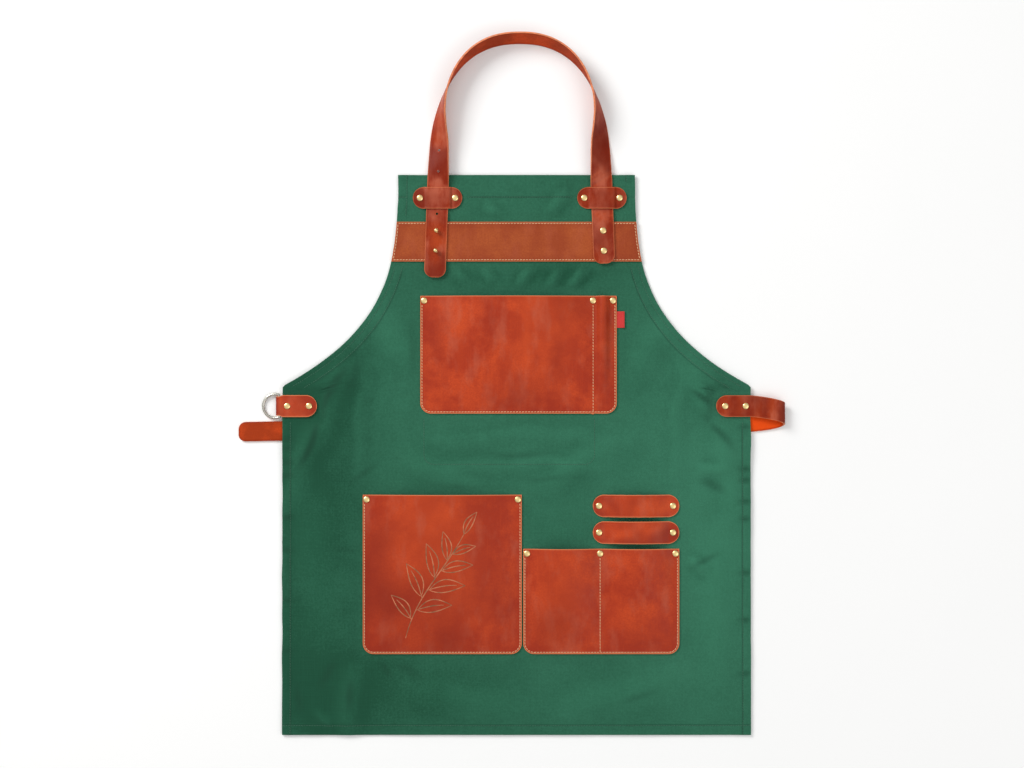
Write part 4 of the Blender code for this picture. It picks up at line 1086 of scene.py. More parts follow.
def finish(name):
    """A finish by name, made the first time it is asked for."""
    ready = bpy.data.materials.get(name)
    if ready:
        return ready
    tones = colours()
    makers = {
        "dyed_canvas": canvas_material,
        "pocket_hide": lambda: leather_material("pocket_hide", tones.pocket, 0.46),
        "band_hide": lambda: leather_material(
            "band_hide", tones.band, 0.52, patch=0.45, grain=0.00007, rim=0.5, bloom_and_sheen=0.16
        ),
        "strap_hide": lambda: leather_material(
            "strap_hide", tones.strap, 0.42, grain=0.00009, rim=0.4, gloss=0.14, bloom_and_sheen=0.72,
            bloom_and_sheen_from=0.45,
        ),
        "flesh_side": lambda: flesh_material("flesh_side", tones.flesh),
        "raw_edge": raw_edge_material,
        "tan_thread": lambda: thread_material("tan_thread", tones.thread),
        "green_thread": lambda: thread_material("green_thread", shaded(tones.canvas, 0.86)),
        "polished_brass": lambda: metal_material("polished_brass", tones.brass, 0.27, 0.30),
        "plated_nickel": lambda: metal_material("plated_nickel", tones.nickel, 0.22, 0.45),
        "label_cloth": label_material,
        "burnt_line": burnt_material,
        "pale_floor": floor_material,
    }
    return makers[name]()


# Pieces


def deselect():
    """Clears the selection, which the frame's nodes start with."""
    bpy.ops.object.select_all(action="DESELECT")


def activate(piece):
    """Selects one piece alone and makes it active."""
    deselect()
    piece.select_set(True)
    bpy.context.view_layer.objects.active = piece


def apply_modifier(piece, kind, **settings):
    """Adds a modifier, sets it and applies it."""
    activate(piece)
    made = piece.modifiers.new("Shape", kind)
    for name, value in settings.items():
        setattr(made, name, value)
    bpy.ops.object.modifier_apply(modifier=made.name)


def settle(piece, slot, *nodes, body=APRON):
    """Gives a piece its body and hides the frame's nodes that it stands for. Its slot is not used.
    """
    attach(piece, body)
    if nodes:
        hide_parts(*nodes)
    return piece


def panel(name, columns, rows, place, values=()):
    """A grid whose points lie where place(column, row) says: it gives a point, then a
    number for each attribute named in values."""
    deselect()
    bpy.ops.mesh.primitive_grid_add(
        x_subdivisions=len(columns) - 1, y_subdivisions=len(rows) - 1, size=2, location=(0, 0, 0)
    )
    piece = bpy.context.object
    piece.name = piece.data.name = name
    mesh = piece.data
    found = {value: [] for value in values}
    for vertex in mesh.vertices:
        column = columns[round((vertex.co.x + 1) / 2 * (len(columns) - 1))]
        row = rows[round((vertex.co.y + 1) / 2 * (len(rows) - 1))]
        vertex.co, *numbers = place(column, row)
        for value, number in zip(values, numbers):
            found[value].append(number)
    for value, numbers in found.items():
        mesh.attributes.new(value, "FLOAT", "POINT").data.foreach_set("value", numbers)
    return piece


def wall(piece, thickness, offset, finishes, bevel=0.00035):
    """Gives a panel its wall, its face, back and cut-edge finishes, and soft edges."""
    mesh = piece.data
    count = len(mesh.vertices)
    facing = mesh.polygons[len(mesh.polygons) // 2].normal.copy()
    middle = mesh.polygons[len(mesh.polygons) // 2].index
    for name in finishes:
        mesh.materials.append(finish(name))
    apply_modifier(piece, "SOLIDIFY", thickness=thickness, offset=offset)
    front_first = mesh.polygons[middle].normal.dot(facing) > 0
    for face in mesh.polygons:
        first = sum(index < count for index in face.vertices)
        if 0 < first < len(face.vertices):
            face.material_index = 2
        else:
            face.material_index = 0 if (first > 0) == front_first else 1
    if bevel:
        apply_modifier(
            piece, "BEVEL", width=bevel, segments=2, limit_method="ANGLE",
            angle_limit=math.radians(50),
        )
    activate(piece)
    bpy.ops.object.shade_smooth_by_angle(angle=math.radians(42))
    return piece


LEATHER_SIDES = {
    kind: (f"{kind}_hide", "flesh_side", "raw_edge") for kind in ("pocket", "band", "strap")
}


def mesh_piece(name, verts, faces, material):
    """A closed piece from its points and faces, with its faces turned outward."""
    mesh = bpy.data.meshes.new(name)
    mesh.from_pydata(verts, [], faces)
    made = bpy.data.objects.new(name, mesh)
    bpy.context.collection.objects.link(made)
    activate(made)
    bpy.ops.object.mode_set(mode="EDIT")
    bpy.ops.mesh.select_all(action="SELECT")
    bpy.ops.mesh.normals_make_consistent(inside=False)
    bpy.ops.object.mode_set(mode="OBJECT")
    mesh.materials.append(finish(material))
    return made


def end_half_width(half, corner, distance):
    """Half a strip's width this far from an end whose corners have this radius."""
    if distance >= corner:
        return half
    return half - corner + math.sqrt(max(corner**2 - (corner - distance) ** 2, 0.0))


def end_distances(corner, steps=12):
    """Distances from a rounded end where its outline needs a point."""
    turns = [math.pi / 2 * (k + 0.6) / (steps + 0.6) for k in range(steps + 1)]
    return [corner * (1 - math.cos(turn)) for turn in turns]


def stations(total, start_corner, end_corner, pitch, marks=()):
    """Distances along a strip for its sections, closer together at its round ends."""
    start = end_distances(start_corner)
    end = [total - distance for distance in reversed(end_distances(end_corner))]
    marks = [mark for mark in marks if start[-1] + pitch / 2 < mark < end[0] - pitch / 2]
    return start[:-1] + spaced([start[-1], *marks, end[0]], pitch) + end[1:]


def strap_age_and_shading(point):
    """How much darker a strap's leather is here, or below 0 how much paler: random age, and
    STRAP_SHADES, partly painted shade and painted highlight.
    """
    broad = wander(point.x * 21, point.y * 21, 4.0)
    fine = wander(point.x * 64, point.y * 64, 9.0)
    total = 0.42 + 1.1 * broad + 0.5 * fine
    for shade in STRAP_SHADES:
        away = math.hypot(point.x - shade["x"], point.y - shade["y"])
        total += shade["age"] * bell(away, shade["wide"])
    return total


def border_crease(margin):
    """Depth of the crease that runs along a strap's edges, this far in from them."""
    return BORDER_CREASE_DEPTH * bell(margin - BORDER_CREASE, BORDER_CREASE_WIDTH)


def strip(name, distances, section, thickness, finishes, width=STRAP_WIDTH):
    """A strap: section(distance) gives its middle, side direction, up direction, half
    width and wear, from -1, darkened, to 1, stretched pale; on the waist strap's loop
    it is partly painted shade and painted highlight. A border crease runs along both its edges."""
    across = [(distance / width) * 2 - 1 for distance in edged(width, width / 9)]
    ready = {distance: section(distance) for distance in distances}
    total = distances[-1] + distances[0]

    def place(share, distance):
        middle, side, up, half, wear = ready[distance]
        margin = min(half * (1 - abs(share)), distance, total - distance)
        point = middle + side * (half * share)
        darkening = strap_age_and_shading(point) - min(wear, 0.0)
        return point - up * border_crease(margin), margin, clamp(max(wear, -darkening)), clamp(darkening)

    piece = panel(name, across, distances, place, ("margin", "stretch_and_highlight", "darkening"))
    middle = len(piece.data.polygons) // 2
    up = ready[distances[middle // (len(across) - 1)]][2]
    if piece.data.polygons[middle].normal.dot(up) < 0:
        piece.data.flip_normals()
    return wall(piece, thickness, 0, finishes)


def lengths_along(points):
    """Distance from the first point to each point of a route."""
    total = [0.0]
    for a, b in zip(points, points[1:]):
        total.append(total[-1] + (b - a).length)
    return total


def point_at(points, lengths, distance):
    """Point and direction this far along a route."""
    for k in range(1, len(points)):
        if distance <= lengths[k] or k == len(points) - 1:
            share = (distance - lengths[k - 1]) / (lengths[k] - lengths[k - 1])
            return points[k - 1].lerp(points[k], share), (points[k] - points[k - 1]).normalized()


def softened(points, steps):
    """A smooth curve through the points."""
    curve = [points[0]]
    for k in range(len(points) - 1):
        before = points[max(k - 1, 0)]
        after = points[min(k + 2, len(points) - 1)]
        start, end = points[k], points[k + 1]
        reach = (end - start).length / 3
        lead_in = (end - before).normalized() * reach
        lead_out = (after - start).normalized() * reach
        curve += interpolate_bezier(start, start + lead_in, end - lead_out, end, steps + 1)[1:]
    return curve


def seated_strip(name, node, rise, thickness, finishes, stretch_and_highlight):
    """A strip along X with round ends over one node, raised by rise(distance in, length)
    and made paler by stretch_and_highlight(share of its length): stretch, and on the loops a painted
    highlight."""
    low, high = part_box(node)
    width = high.y - low.y
    corner = width / 2
    end_loss = corner * (1 - math.cos(math.radians(18)))
    left, length = low.x - end_loss, high.x - low.x + 2 * end_loss
    centre_y = (low.y + high.y) / 2

    def section(distance):
        x = left + distance
        inward = min(distance, length - distance)
        z = over_canvas(x, centre_y) + thickness / 2 + rise(inward, length)
        wobble = 0.0002 * wander(x * 120, centre_y * 90, 0)
        half = end_half_width(corner, corner, inward) + wobble
        return (
            Vector((x, centre_y, z)), Vector((0, 1, 0)), Vector((0, 0, 1)), half,
            stretch_and_highlight(distance / length),
        )

    distances = stations(length, corner, corner, 0.0022)
    return strip(name, distances, section, thickness, finishes, width)


def canvas_piece():
    """The canvas with its hems, folds and pressed creases."""
    outer = [("left", share) for share in HEM_COLUMNS]
    middle = [("middle", k / CANVAS_COLUMNS) for k in range(CANVAS_COLUMNS + 1)]
    columns = outer + middle + [("right", share) for share in reversed(HEM_COLUMNS)]
    rows = [HEM_LINE + distance for distance in BOTTOM_ROWS[:-1]]
    rows += spaced([HEM_LINE + BOTTOM_ROWS[-1], BIB_TOP - TOP_ROWS[-1]], CANVAS_PITCH)
    rows += [BIB_TOP - distance for distance in reversed(TOP_ROWS[:-1])]

    def place(column, y):
        kind, share = column
        half, hem = half_width(y), hem_width(y)
        sway = 0.0009 * wander(5.0 if kind == "left" else 9.0, y * 26, 0)
        inner = half - hem * HEM_COLUMNS[-1] - 0.002
        if kind == "middle":
            x = mix(-inner, inner, share)
        else:
            x = (half - hem * share + sway) * (-1 if kind == "left" else 1)
        cover = leather_cover(x, y)
        detail = cloth_detail(x, y) * (1 - cover)
        # The rise attribute: painted highlight on the folds' crests, and lighter along the body's
        # edges
        folds = clamp(fold_rise(x, y) / 0.003) * (1 - cover)
        edge = bell(half - abs(x), 0.004)
        # Painted shade: a band round each leather piece, and dark lines along the hems' edges and in
        # the creases and puckers
        painted_shade = CONTACT_SHADE * cover * (1 - cover) * 4
        hem_line = max(
            bell(half - hem * HEM_END - abs(x), 0.0018),
            bell(y - HEM_LINE - BOTTOM_HEM, 0.0018),
            bell(BIB_TOP - y - TOP_HEM, 0.0018),
        )
        pressed = max(HEM_SHADE * hem_line, CREASE_SHADE * crease_depth(x, y))
        painted_shade = clamp(max(painted_shade, pressed * (1 - cover)))
        point = Vector((x, y, level_top(x, y) + detail))
        return point, clamp(folds * 0.8 + edge * 0.6), painted_shade, canvas_tone(x, y)

    piece = panel("canvas", columns, rows, place, ("rise", "painted_shade", "tone"))
    group = piece.vertex_groups.new(name="hem")
    for vertex in piece.data.vertices:
        x, y = vertex.co.x, vertex.co.y
        doubled = hem_share(x, y) < HEM_END + 0.02
        doubled = doubled or y < HEM_LINE + BOTTOM_HEM + 0.0005 or y > BIB_TOP - TOP_HEM - 0.0005
        group.add([vertex.index], 1.0 if doubled else CANVAS / (CANVAS + HEM_FOLD), "REPLACE")
    for _ in range(3):
        piece.data.materials.append(finish("dyed_canvas"))
    apply_modifier(
        piece, "SOLIDIFY", thickness=CANVAS + HEM_FOLD, offset=-1, vertex_group="hem"
    )
    apply_modifier(
        piece, "BEVEL", width=0.0004, segments=2, limit_method="ANGLE", angle_limit=math.radians(60)
    )
    activate(piece)
    bpy.ops.object.shade_smooth_by_angle(angle=math.radians(50))
    return piece


def body_area():
    """Flat area of the canvas body."""
    rows = spaced([HEM_LINE, BIB_TOP], 0.002)
    return sum((half_width(a) + half_width(b)) * (b - a) for a, b in zip(rows, rows[1:]))


def pocket_outline(left, right, bottom, top, radius, step):
    """Plan points down a pocket's side, round its lower corners by steps in degrees, and
    up its other side."""
    points = [(left, top)]
    for start, centre_x in ((180, left + radius), (270, right - radius)):
        for turn in range(start, start + 91, step):
            angle = math.radians(turn)
            x = centre_x + radius * math.cos(angle)
            points.append((x, bottom + radius + radius * math.sin(angle)))
    return points + [(right, top)]


class Pocket:
    """The form of one leather pocket, read from its node."""

    def __init__(self, node, bulges, dividers=()):
        low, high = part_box(node)
        self.node = node
        self.left, self.right, self.bottom, self.top = low.x, high.x, low.y, high.y
        breaks = [self.left, *dividers, self.right]
        self.parts = []
        for number, bulge in enumerate(bulges):
            first, last = number == 0, number == len(bulges) - 1
            start = breaks[number] + (FLAT_AT_RIVET if first else FLAT_AT_DIVIDER)
            end = breaks[number + 1] - (FLAT_AT_RIVET if last else FLAT_AT_DIVIDER)
            self.parts.append((start, end, bulge))
        self.dividers = list(dividers)

    def margin(self, x, y):
        """Distance in from the pocket's outline."""
        inward = min(x - self.left, self.right - x)
        up = y - self.bottom
        if inward < POCKET_CORNER and up < POCKET_CORNER:
            return POCKET_CORNER - math.hypot(POCKET_CORNER - inward, POCKET_CORNER - up)
        return min(inward, up)

    def bulge(self, x, y):
        """How far the leather stands off the canvas."""
        height = self.top - self.bottom
        opened = math.sin(math.pi / 2 * clamp((y - self.bottom - SEAM) / (height - SEAM)))
        for start, end, bulge in self.parts:
            if start < x < end:
                return bulge * opened * math.sin(math.pi * (x - start) / (end - start))
        return 0.0

    def under(self, x, y):
        """Height of the leather's back face."""
        ripple = 0.0005 * (0.45 + wander(x * 22, y * 22, self.left * 50))
        dents = 0.00022 * (0.5 + wander(x * 75, y * 75, self.left * 50))
        free = smooth((self.margin(x, y) - 0.004) / 0.02) * smooth((self.top - y + 0.008) / 0.02)
        for divider in self.dividers:
            free *= smooth((abs(x - divider) - 0.003) / 0.01)
        sewn = bell(self.margin(x, y) - STITCH_INSET, 0.0020)
        for divider in self.dividers:
            sewn = max(sewn, bell(x - divider, 0.0020))
        groove = 0.00022 * sewn
        return over_canvas(x, y) + self.bulge(x, y) + (ripple + dents) * free - groove

    def top_face(self, x, y):
        """Height of the leather's front face."""
        return self.under(x, y) + POCKET_LEATHER

    def darkening(self, x, y):
        """How much the leather has darkened here, or below 0 how much it is paler."""
        total = 0.0
        for shade in POCKET_SHADES[self.node]:
            away_x = (x - self.left) / (self.right - self.left) - shade["across"]
            away_y = (y - self.bottom) / (self.top - self.bottom) - shade["up"]
            away = math.hypot(away_x / shade["wide"], away_y / shade["high"])
            total += shade["depth"] * bell(away, 1)
        return min(total * (1.1 + wander(x * 16, y * 16, self.left * 9)), 1.0)

    def build(self):
        """The pocket's panel."""
        width = self.right - self.left
        columns = edged(width, 0.0030)
        for divider in self.dividers:
            at = divider - self.left
            columns = [x for x in columns if abs(x - at) > 0.0048]
            columns += [at + step for step in (-0.004, -0.0022, -0.0010, 0, 0.0010, 0.0022, 0.004)]
        columns.sort()
        corner = [POCKET_CORNER * (1 - math.cos(math.pi / 2 * k / 16)) for k in range(17)]
        top = self.top - self.bottom
        rows = corner[:-1] + spaced([POCKET_CORNER, top - 0.0042], 0.0032)
        rows += [top - 0.0028, top - 0.0016, top - 0.0007, top]

        def place(across, up):
            inset = POCKET_CORNER - end_half_width(POCKET_CORNER, POCKET_CORNER, up)
            x = mix(self.left + inset, self.right - inset, across / width)
            y = self.bottom + up
            margin = min(self.margin(x, y), self.top - y)
            stretch = wander(x * 7, y * 7, self.right * 30)
            lifted = self.bulge(x, y) / 0.009
            darkening = self.darkening(x, y)
            # Paler on the bulges, stretch with a painted highlight, and paler along the mouth
            stretch_and_highlight = 0.60 * lifted * (0.5 + 1.6 * stretch) + 0.25 * bell(self.top - y, 0.006)
            stretch_and_highlight = clamp(stretch_and_highlight + max(-darkening, 0.0))
            return Vector((x, y, self.under(x, y))), max(margin, 0.0), stretch_and_highlight, max(darkening, 0.0)

        piece = panel(f"{self.node}_leather", columns, rows, place, ("margin", "stretch_and_highlight", "darkening"))
        return wall(piece, POCKET_LEATHER, 1, LEATHER_SIDES["pocket"])

    def seam(self, inset):
        """Points of the sewn line down one side, along the bottom and up the other."""
        return pocket_outline(
            self.left + inset, self.right - inset, self.bottom + inset, self.top - SEAM_DROP,
            POCKET_CORNER - inset, 6,
        )


def pockets():
    """The three leather pockets, from the frame's nodes and rivets."""
    pen, twin = node_centre("chest_pocket_rivet_2")[0], node_centre("twin_pocket_rivet_2")[0]
    return [
        Pocket("chest_pocket", CHEST_BULGES, (pen,)),
        Pocket("tall_pocket", TALL_BULGES),
        Pocket("twin_pocket", TWIN_BULGES, (twin,)),
    ]


def band_under(x, y):
    """Height of the chest band's back face."""
    sewn = bell(min(y - BAND_LOW.y, BAND_HIGH.y - y, half_width(y) - abs(x)) - STITCH_INSET, 0.0020)
    return over_canvas(x, y) - 0.00018 * sewn


def band_piece():
    """The leather band across the bib."""
    rows = [BAND_LOW.y + distance for distance in edged(BAND_HIGH.y - BAND_LOW.y, 0.0035)]
    columns = edged(2.0, 0.02, (0.0, 0.003, 0.007, 0.011, 0.0145, 0.018, 0.023, 0.035))

    def place(across, y):
        half = half_width(y)
        x = mix(-half, half, across / 2)
        margin = min(y - BAND_LOW.y, BAND_HIGH.y - y, half - abs(x))
        return Vector((x, y, band_under(x, y))), margin, 0.0

    piece = panel("chest_band_leather", columns, rows, place, ("margin", "stretch_and_highlight"))
    return wall(piece, POCKET_LEATHER, 1, LEATHER_SIDES["band"])


def keeper_rise(inward, length):
    """A keeper's rise over the neck strap."""
    flat, ramp = 0.0150, 0.0034
    return (STRAP_LEATHER + GAP) * smooth((inward - flat + 0.0002) / (ramp - 0.0004))


def loop_rise(inward, length):
    """A tool loop's arch."""
    flat = 0.0156
    return LOOP_ARCH * math.sin(math.pi * clamp((inward - flat) / (length - 2 * flat)))


def neck_strap_rest(x, y):
    """Height of the neck strap's lower edge over what it lies on."""
    over_band = level_top(x, min(y, BAND_HIGH.y)) + POCKET_LEATHER + 2 * GAP
    on_canvas = level_top(x, min(y, BIB_TOP)) + GAP
    past_band = BAND_HIGH.y + GAP
    rest = mix(over_band, on_canvas, smooth((y - past_band) / (KEEPER_BOTTOM - past_band)))
    past_bib = BIB_TOP + STRAP_LEATHER
    return mix(rest, GAP / 2, smooth((y - past_bib) / (ARCH_FOOT - past_bib)))


def neck_route():
    """The neck strap in plan: up the left leg, over the arch, down the right leg."""
    heights = spaced([BAND_LOW.y - LEFT_TAIL, ARCH_FOOT], 0.004)
    points = [Vector((neck_strap_x(-1, y), y, 0)) for y in heights]
    power = 2 / ARCH_SQUARENESS
    for k in range(1, ARCH_STEPS):
        turn = math.pi * k / ARCH_STEPS
        across = math.copysign(abs(math.cos(turn)) ** power, -math.cos(turn))
        x = ARCH_CENTRE + ARCH_HALF_WIDTH * across
        points.append(Vector((x, ARCH_FOOT + ARCH_HEIGHT * math.sin(turn) ** power, 0)))
    heights = spaced([BAND_LOW.y - RIGHT_TAIL, ARCH_FOOT], 0.004)
    points += [Vector((neck_strap_x(1, y), y, 0)) for y in reversed(heights)]
    return points


def strap_crease(middle, across):
    """Depth of the creases over the neck strap's right leg, across in metres."""
    if middle.x < 0 or middle.y > BIB_TOP + 0.05:
        return 0.0
    depth = 0.0
    for crease in STRAP_CREASES:
        away = middle.y - (BAND_LOW.y + crease["up"] + crease["slant"] * across)
        depth += crease["depth"] * bell(away, crease["width"])
    return depth


def punch(piece, x, y, radius):
    """Punches a round hole down through a piece, its wall finished as a raw edge."""
    deselect()
    bpy.ops.mesh.primitive_cylinder_add(
        vertices=24, radius=radius, depth=STRAP_WIDTH * 4, location=(x, y, 0)
    )
    cutter = bpy.context.object
    cutter.data.materials.append(finish("raw_edge"))
    apply_modifier(piece, "BOOLEAN", operation="DIFFERENCE", solver="EXACT", object=cutter)
    bpy.data.objects.remove(cutter, do_unlink=True)


def neck_strap_piece():
    """One long strap, flat on the bib and turned on edge round the neck."""
    route = neck_route()
    lengths = lengths_along(route)
    total = lengths[-1]
    distances = stations(total, TAIL_CORNER, TAIL_CORNER, 0.0026)
    across = [(distance / STRAP_WIDTH) * 2 - 1 for distance in edged(STRAP_WIDTH, STRAP_WIDTH / 12)]
    ready = {}
    for distance in distances:
        middle, direction = point_at(route, lengths, distance)
        rise = (middle.y - KEEPER_TOP) / (ARCH_FOOT + ARCH_HEIGHT - KEEPER_TOP)
        lean = math.radians(look_up(NECK_STRAP_TURN, "rise", "lean", rise))
        outward = Vector((-direction.y, direction.x, 0))
        side = Vector((0, 0, 1)) * math.sin(lean) - outward * math.cos(lean)
        middle.z = neck_strap_rest(middle.x, middle.y)
        middle.z += STRAP_LEATHER / 2 * abs(math.cos(lean)) + STRAP_WIDTH / 2 * math.sin(lean)
        end = min(distance, total - distance)
        half = end_half_width(STRAP_WIDTH / 2, TAIL_CORNER, end)
        half += 0.00018 * wander(distance * 60, 0, 0)
        up = side.cross(direction)
        up = up if up.z > 0 or lean > 1.2 else -up
        ready[distance] = (middle, side, up, half, end)

    def place(share, distance):
        middle, side, up, half, end = ready[distance]
        margin = min(half * (1 - abs(share)), end)
        crease = strap_crease(middle, half * share)
        depth = border_crease(margin) + crease
        point = middle + side * (half * share)
        darkening = strap_age_and_shading(point)
        return point - up * depth, margin, clamp(max(crease / 0.0005, -darkening)), clamp(darkening)

    piece = panel("neck_strap_leather", across, distances, place, ("margin", "stretch_and_highlight", "darkening"))
    wall(piece, STRAP_LEATHER, 0, LEATHER_SIDES["strap"])
    upper_line = max(node_centre(f"neck_stud_{number}")[1] for number in (1, 2))
    for number in range(SPARE_HOLES):
        y = upper_line + SPARE_HOLE_START + SPARE_HOLE_PITCH * number
        punch(piece, neck_strap_x(-1, y), y, SPARE_HOLE_RADIUS)
    return piece


def waist_route():
    """The waist strap: off the front tab, round its loop, and across behind the body."""
    front = CLOTH_TOP + RIGHT_LIFT + GAP + STRAP_LEATHER / 2
    floor = STRAP_LEATHER / 2
    xs = spaced([WAIST_HALF - WAIST_TAB_LENGTH, WAIST_HALF], 0.014)
    points = [Vector((x, WAIST_TAB_LINE, front)) for x in xs]
    for row in WAIST_LOOP:
        y = mix(WAIST_TAB_LINE, back_strand_line(WAIST_HALF), row["across"])
        x = WAIST_HALF + WAIST_LOOP_REACH * row["out"]
        points.append(Vector((x, y, floor + WAIST_LOOP_RISE * row["up"])))
    for x in reversed(spaced([STRAP_LOW.x, WAIST_HALF], 0.060)):
        points.append(Vector((x, back_strand_line(x), floor)))
    return points


def waist_strap_piece():
    """The strap that closes the apron, looped under itself at the right."""
    route = softened(waist_route(), 6)
    lengths = lengths_along(route)
    total = lengths[-1]
    behind = total - (WAIST_HALF - STRAP_LOW.x)
    end_corner = 0.010

    def section(distance):
        middle, direction = point_at(route, lengths, distance)
        middle.z = max(middle.z, STRAP_LEATHER / 2)
        half = mix(STRAP_WIDTH, STRAP_END_WIDTH, smooth((distance - behind) / (total - behind))) / 2
        half = min(
            end_half_width(STRAP_WIDTH / 2, STRAP_WIDTH / 2, distance),
            end_half_width(half, end_corner, total - distance),
        )
        up = Vector((-direction.z, 0, direction.x)).normalized()
        out = (middle.x - WAIST_HALF) / WAIST_LOOP_REACH
        # Painted highlight and shade where the strap turns round its loop, with wear
        wear = sum(band["wear"] * bell(out - band["out"], band["wide"]) for band in WAIST_LOOP_SHADING)
        return middle, Vector((0, 1, 0)), up, half, wear

    distances = stations(total, STRAP_WIDTH / 2, end_corner, 0.0034)
    return strip("waist_strap_leather", distances, section, STRAP_LEATHER, LEATHER_SIDES["strap"])


def ring_tab_piece():
    """The tab folded round the ring's bar, with a layer before and behind the body."""
    layer = spaced([RING_BAR.x + TAB_EASE, TAB_HIGH.x], 0.006)
    points = [Vector((x, WAIST_TAB_LINE, TAB_FRONT)) for x in reversed(layer)]
    for turn in range(90, 271, 15):
        angle = math.radians(turn)
        x = RING_BAR.x + RING_FOLD_RADIUS * math.cos(angle)
        points.append(Vector((x, WAIST_TAB_LINE, RING_BAR.z + RING_FOLD_RADIUS * math.sin(angle))))
    points += [Vector((x, WAIST_TAB_LINE, TAB_BACK)) for x in layer]
    lengths = lengths_along(points)
    total = lengths[-1]
    corner = (TAB_HIGH.y - TAB_LOW.y) / 2

    def section(distance):
        middle, direction = point_at(points, lengths, distance)
        share = smooth((middle.x - RING_BAR.x) / TAB_EASE)
        opening = mix(RING_HALF_BAR - TAB_FOLD_INSET, corner, share)
        half = min(opening, end_half_width(corner, corner, min(distance, total - distance)))
        up = Vector((direction.z, 0, -direction.x)).normalized()
        fold = bell(middle.x - RING_BAR.x + RING_FOLD_RADIUS, 0.005)
        crease = bell(middle.x - RING_BAR.x - TAB_EASE / 2, 0.0045)
        rest = bell(middle.x - (RING_BAR.x + TAB_HIGH.x) / 2, 0.030)
        return middle, Vector((0, 1, 0)), up, half, 0.7 * crease + 0.5 * rest - 0.9 * fold

    distances = stations(total, corner, corner, 0.0018)
    return strip(
        "ring_tab_leather", distances, section, TAB_LEATHER, LEATHER_SIDES["pocket"], 2 * corner
    )


def ring_piece():
    """The wire ring, bent with one straight bar and tipped down to rest."""
    bar = RING_HALF_BAR - RING_CORNER
    outline = [(0.0, mix(-bar, bar, k / 8)) for k in range(9)]
    start = math.acos(RING_BAR_OFFSET / RING_RADIUS) + RING_CORNER / RING_RADIUS
    arc = []
    for k in range(73):
        turn = mix(start, 2 * math.pi - start, k / 72)
        arc.append((RING_RADIUS * math.cos(turn) - RING_BAR_OFFSET, RING_RADIUS * math.sin(turn)))
    before, after = Vector((*outline[-1], 0)), Vector((*arc[0], 0))
    knee = Vector((0.0, after.y + (before.y - after.y) * 0.15, 0))
    bend = interpolate_bezier(before, before.lerp(knee, 0.8), after.lerp(knee, 0.6), after, 6)[1:-1]
    outline += [(point.x, point.y) for point in bend] + arc
    outline += [(point.x, -point.y) for point in reversed(bend)]
    curve = bpy.data.curves.new("ring_wire", "CURVE")
    curve.dimensions = "3D"
    curve.bevel_depth = RING_WIRE
    curve.bevel_resolution = 5
    spline = curve.splines.new("POLY")
    spline.points.add(len(outline) - 1)
    spline.use_cyclic_u = True
    for point, (x, y) in zip(spline.points, outline):
        point.co = (x, y, 0, 1)
    made = bpy.data.objects.new("ring_wire", curve)
    bpy.context.collection.objects.link(made)
    activate(made)
    bpy.ops.object.convert(target="MESH")
    piece = bpy.context.object
    drop = RING_BAR.z - RING_WIRE - GAP / 2
    tip = Matrix.Rotation(-math.asin(drop / (RING_RADIUS + RING_BAR_OFFSET)), 4, "Y")
    piece.data.transform(Matrix.Translation(RING_BAR) @ tip)
    bpy.ops.object.shade_smooth()
    piece.data.materials.clear()
    piece.data.materials.append(finish("plated_nickel"))
    return piece


CAP_HEIGHT, CAP_RADIUS, BACK_RADIUS, SHANK_RADIUS = 0.0017, 0.0046, 0.0040, 0.0015
STUD_RADIUS, STUD_NECK = 0.0033, 0.0016
CAP_SINK = GAP * 0.8  # a cap's rim down into the gap under it
BACK_LEVEL = -1.0  # where a template keeps its back cap, well below its head


def cap_dome(radius, height):
    """A low dome with a turned rim, its base at the origin."""
    deselect()
    bpy.ops.mesh.primitive_uv_sphere_add(
        segments=sizes().rivet_sides, ring_count=14, radius=radius, location=(0, 0, 0)
    )
    dome = bpy.context.object
    bpy.ops.object.mode_set(mode="EDIT")
    bpy.ops.mesh.select_all(action="SELECT")
    bpy.ops.mesh.bisect(
        plane_co=(0, 0, 0), plane_no=(0, 0, 1), clear_inner=True, use_fill=True, threshold=0.00001
    )
    bpy.ops.mesh.select_all(action="SELECT")
    bpy.ops.transform.resize(value=(1, 1, height / radius), center_override=(0, 0, 0))
    bpy.ops.object.mode_set(mode="OBJECT")
    for face in dome.data.polygons:
        face.select = face.normal.z < -0.9
    bpy.ops.object.mode_set(mode="EDIT")
    bpy.ops.mesh.select_mode(type="FACE")
    bpy.ops.mesh.extrude_region_move(TRANSFORM_OT_translate={"value": (0, 0, -CAP_SINK)})
    bpy.ops.mesh.select_all(action="SELECT")
    bpy.ops.mesh.normals_make_consistent(inside=False)
    bpy.ops.object.mode_set(mode="OBJECT")
    return dome


def disc(radius, low, high, sides, bevel):
    """A bevelled disc or pin between two heights."""
    deselect()
    bpy.ops.mesh.primitive_cylinder_add(
        vertices=sides, radius=radius, depth=high - low, location=(0, 0, (low + high) / 2)
    )
    made = bpy.context.object
    if bevel:
        bpy.ops.object.mode_set(mode="EDIT")
        bpy.ops.mesh.select_all(action="SELECT")
        bpy.ops.mesh.bevel(offset=bevel, segments=2)
        bpy.ops.object.mode_set(mode="OBJECT")
    bpy.ops.object.transform_apply(location=True, rotation=True, scale=True)
    return made


def joined(name, parts):
    """Parts joined into one object at the origin."""
    deselect()
    for part in parts:
        part.select_set(True)
    bpy.context.view_layer.objects.active = parts[0]
    bpy.ops.object.join()
    made = bpy.context.object
    made.name = made.data.name = name
    made.data.materials.clear()
    made.data.materials.append(finish("polished_brass"))
    bpy.ops.object.shade_smooth_by_angle(angle=math.radians(38))
    return made


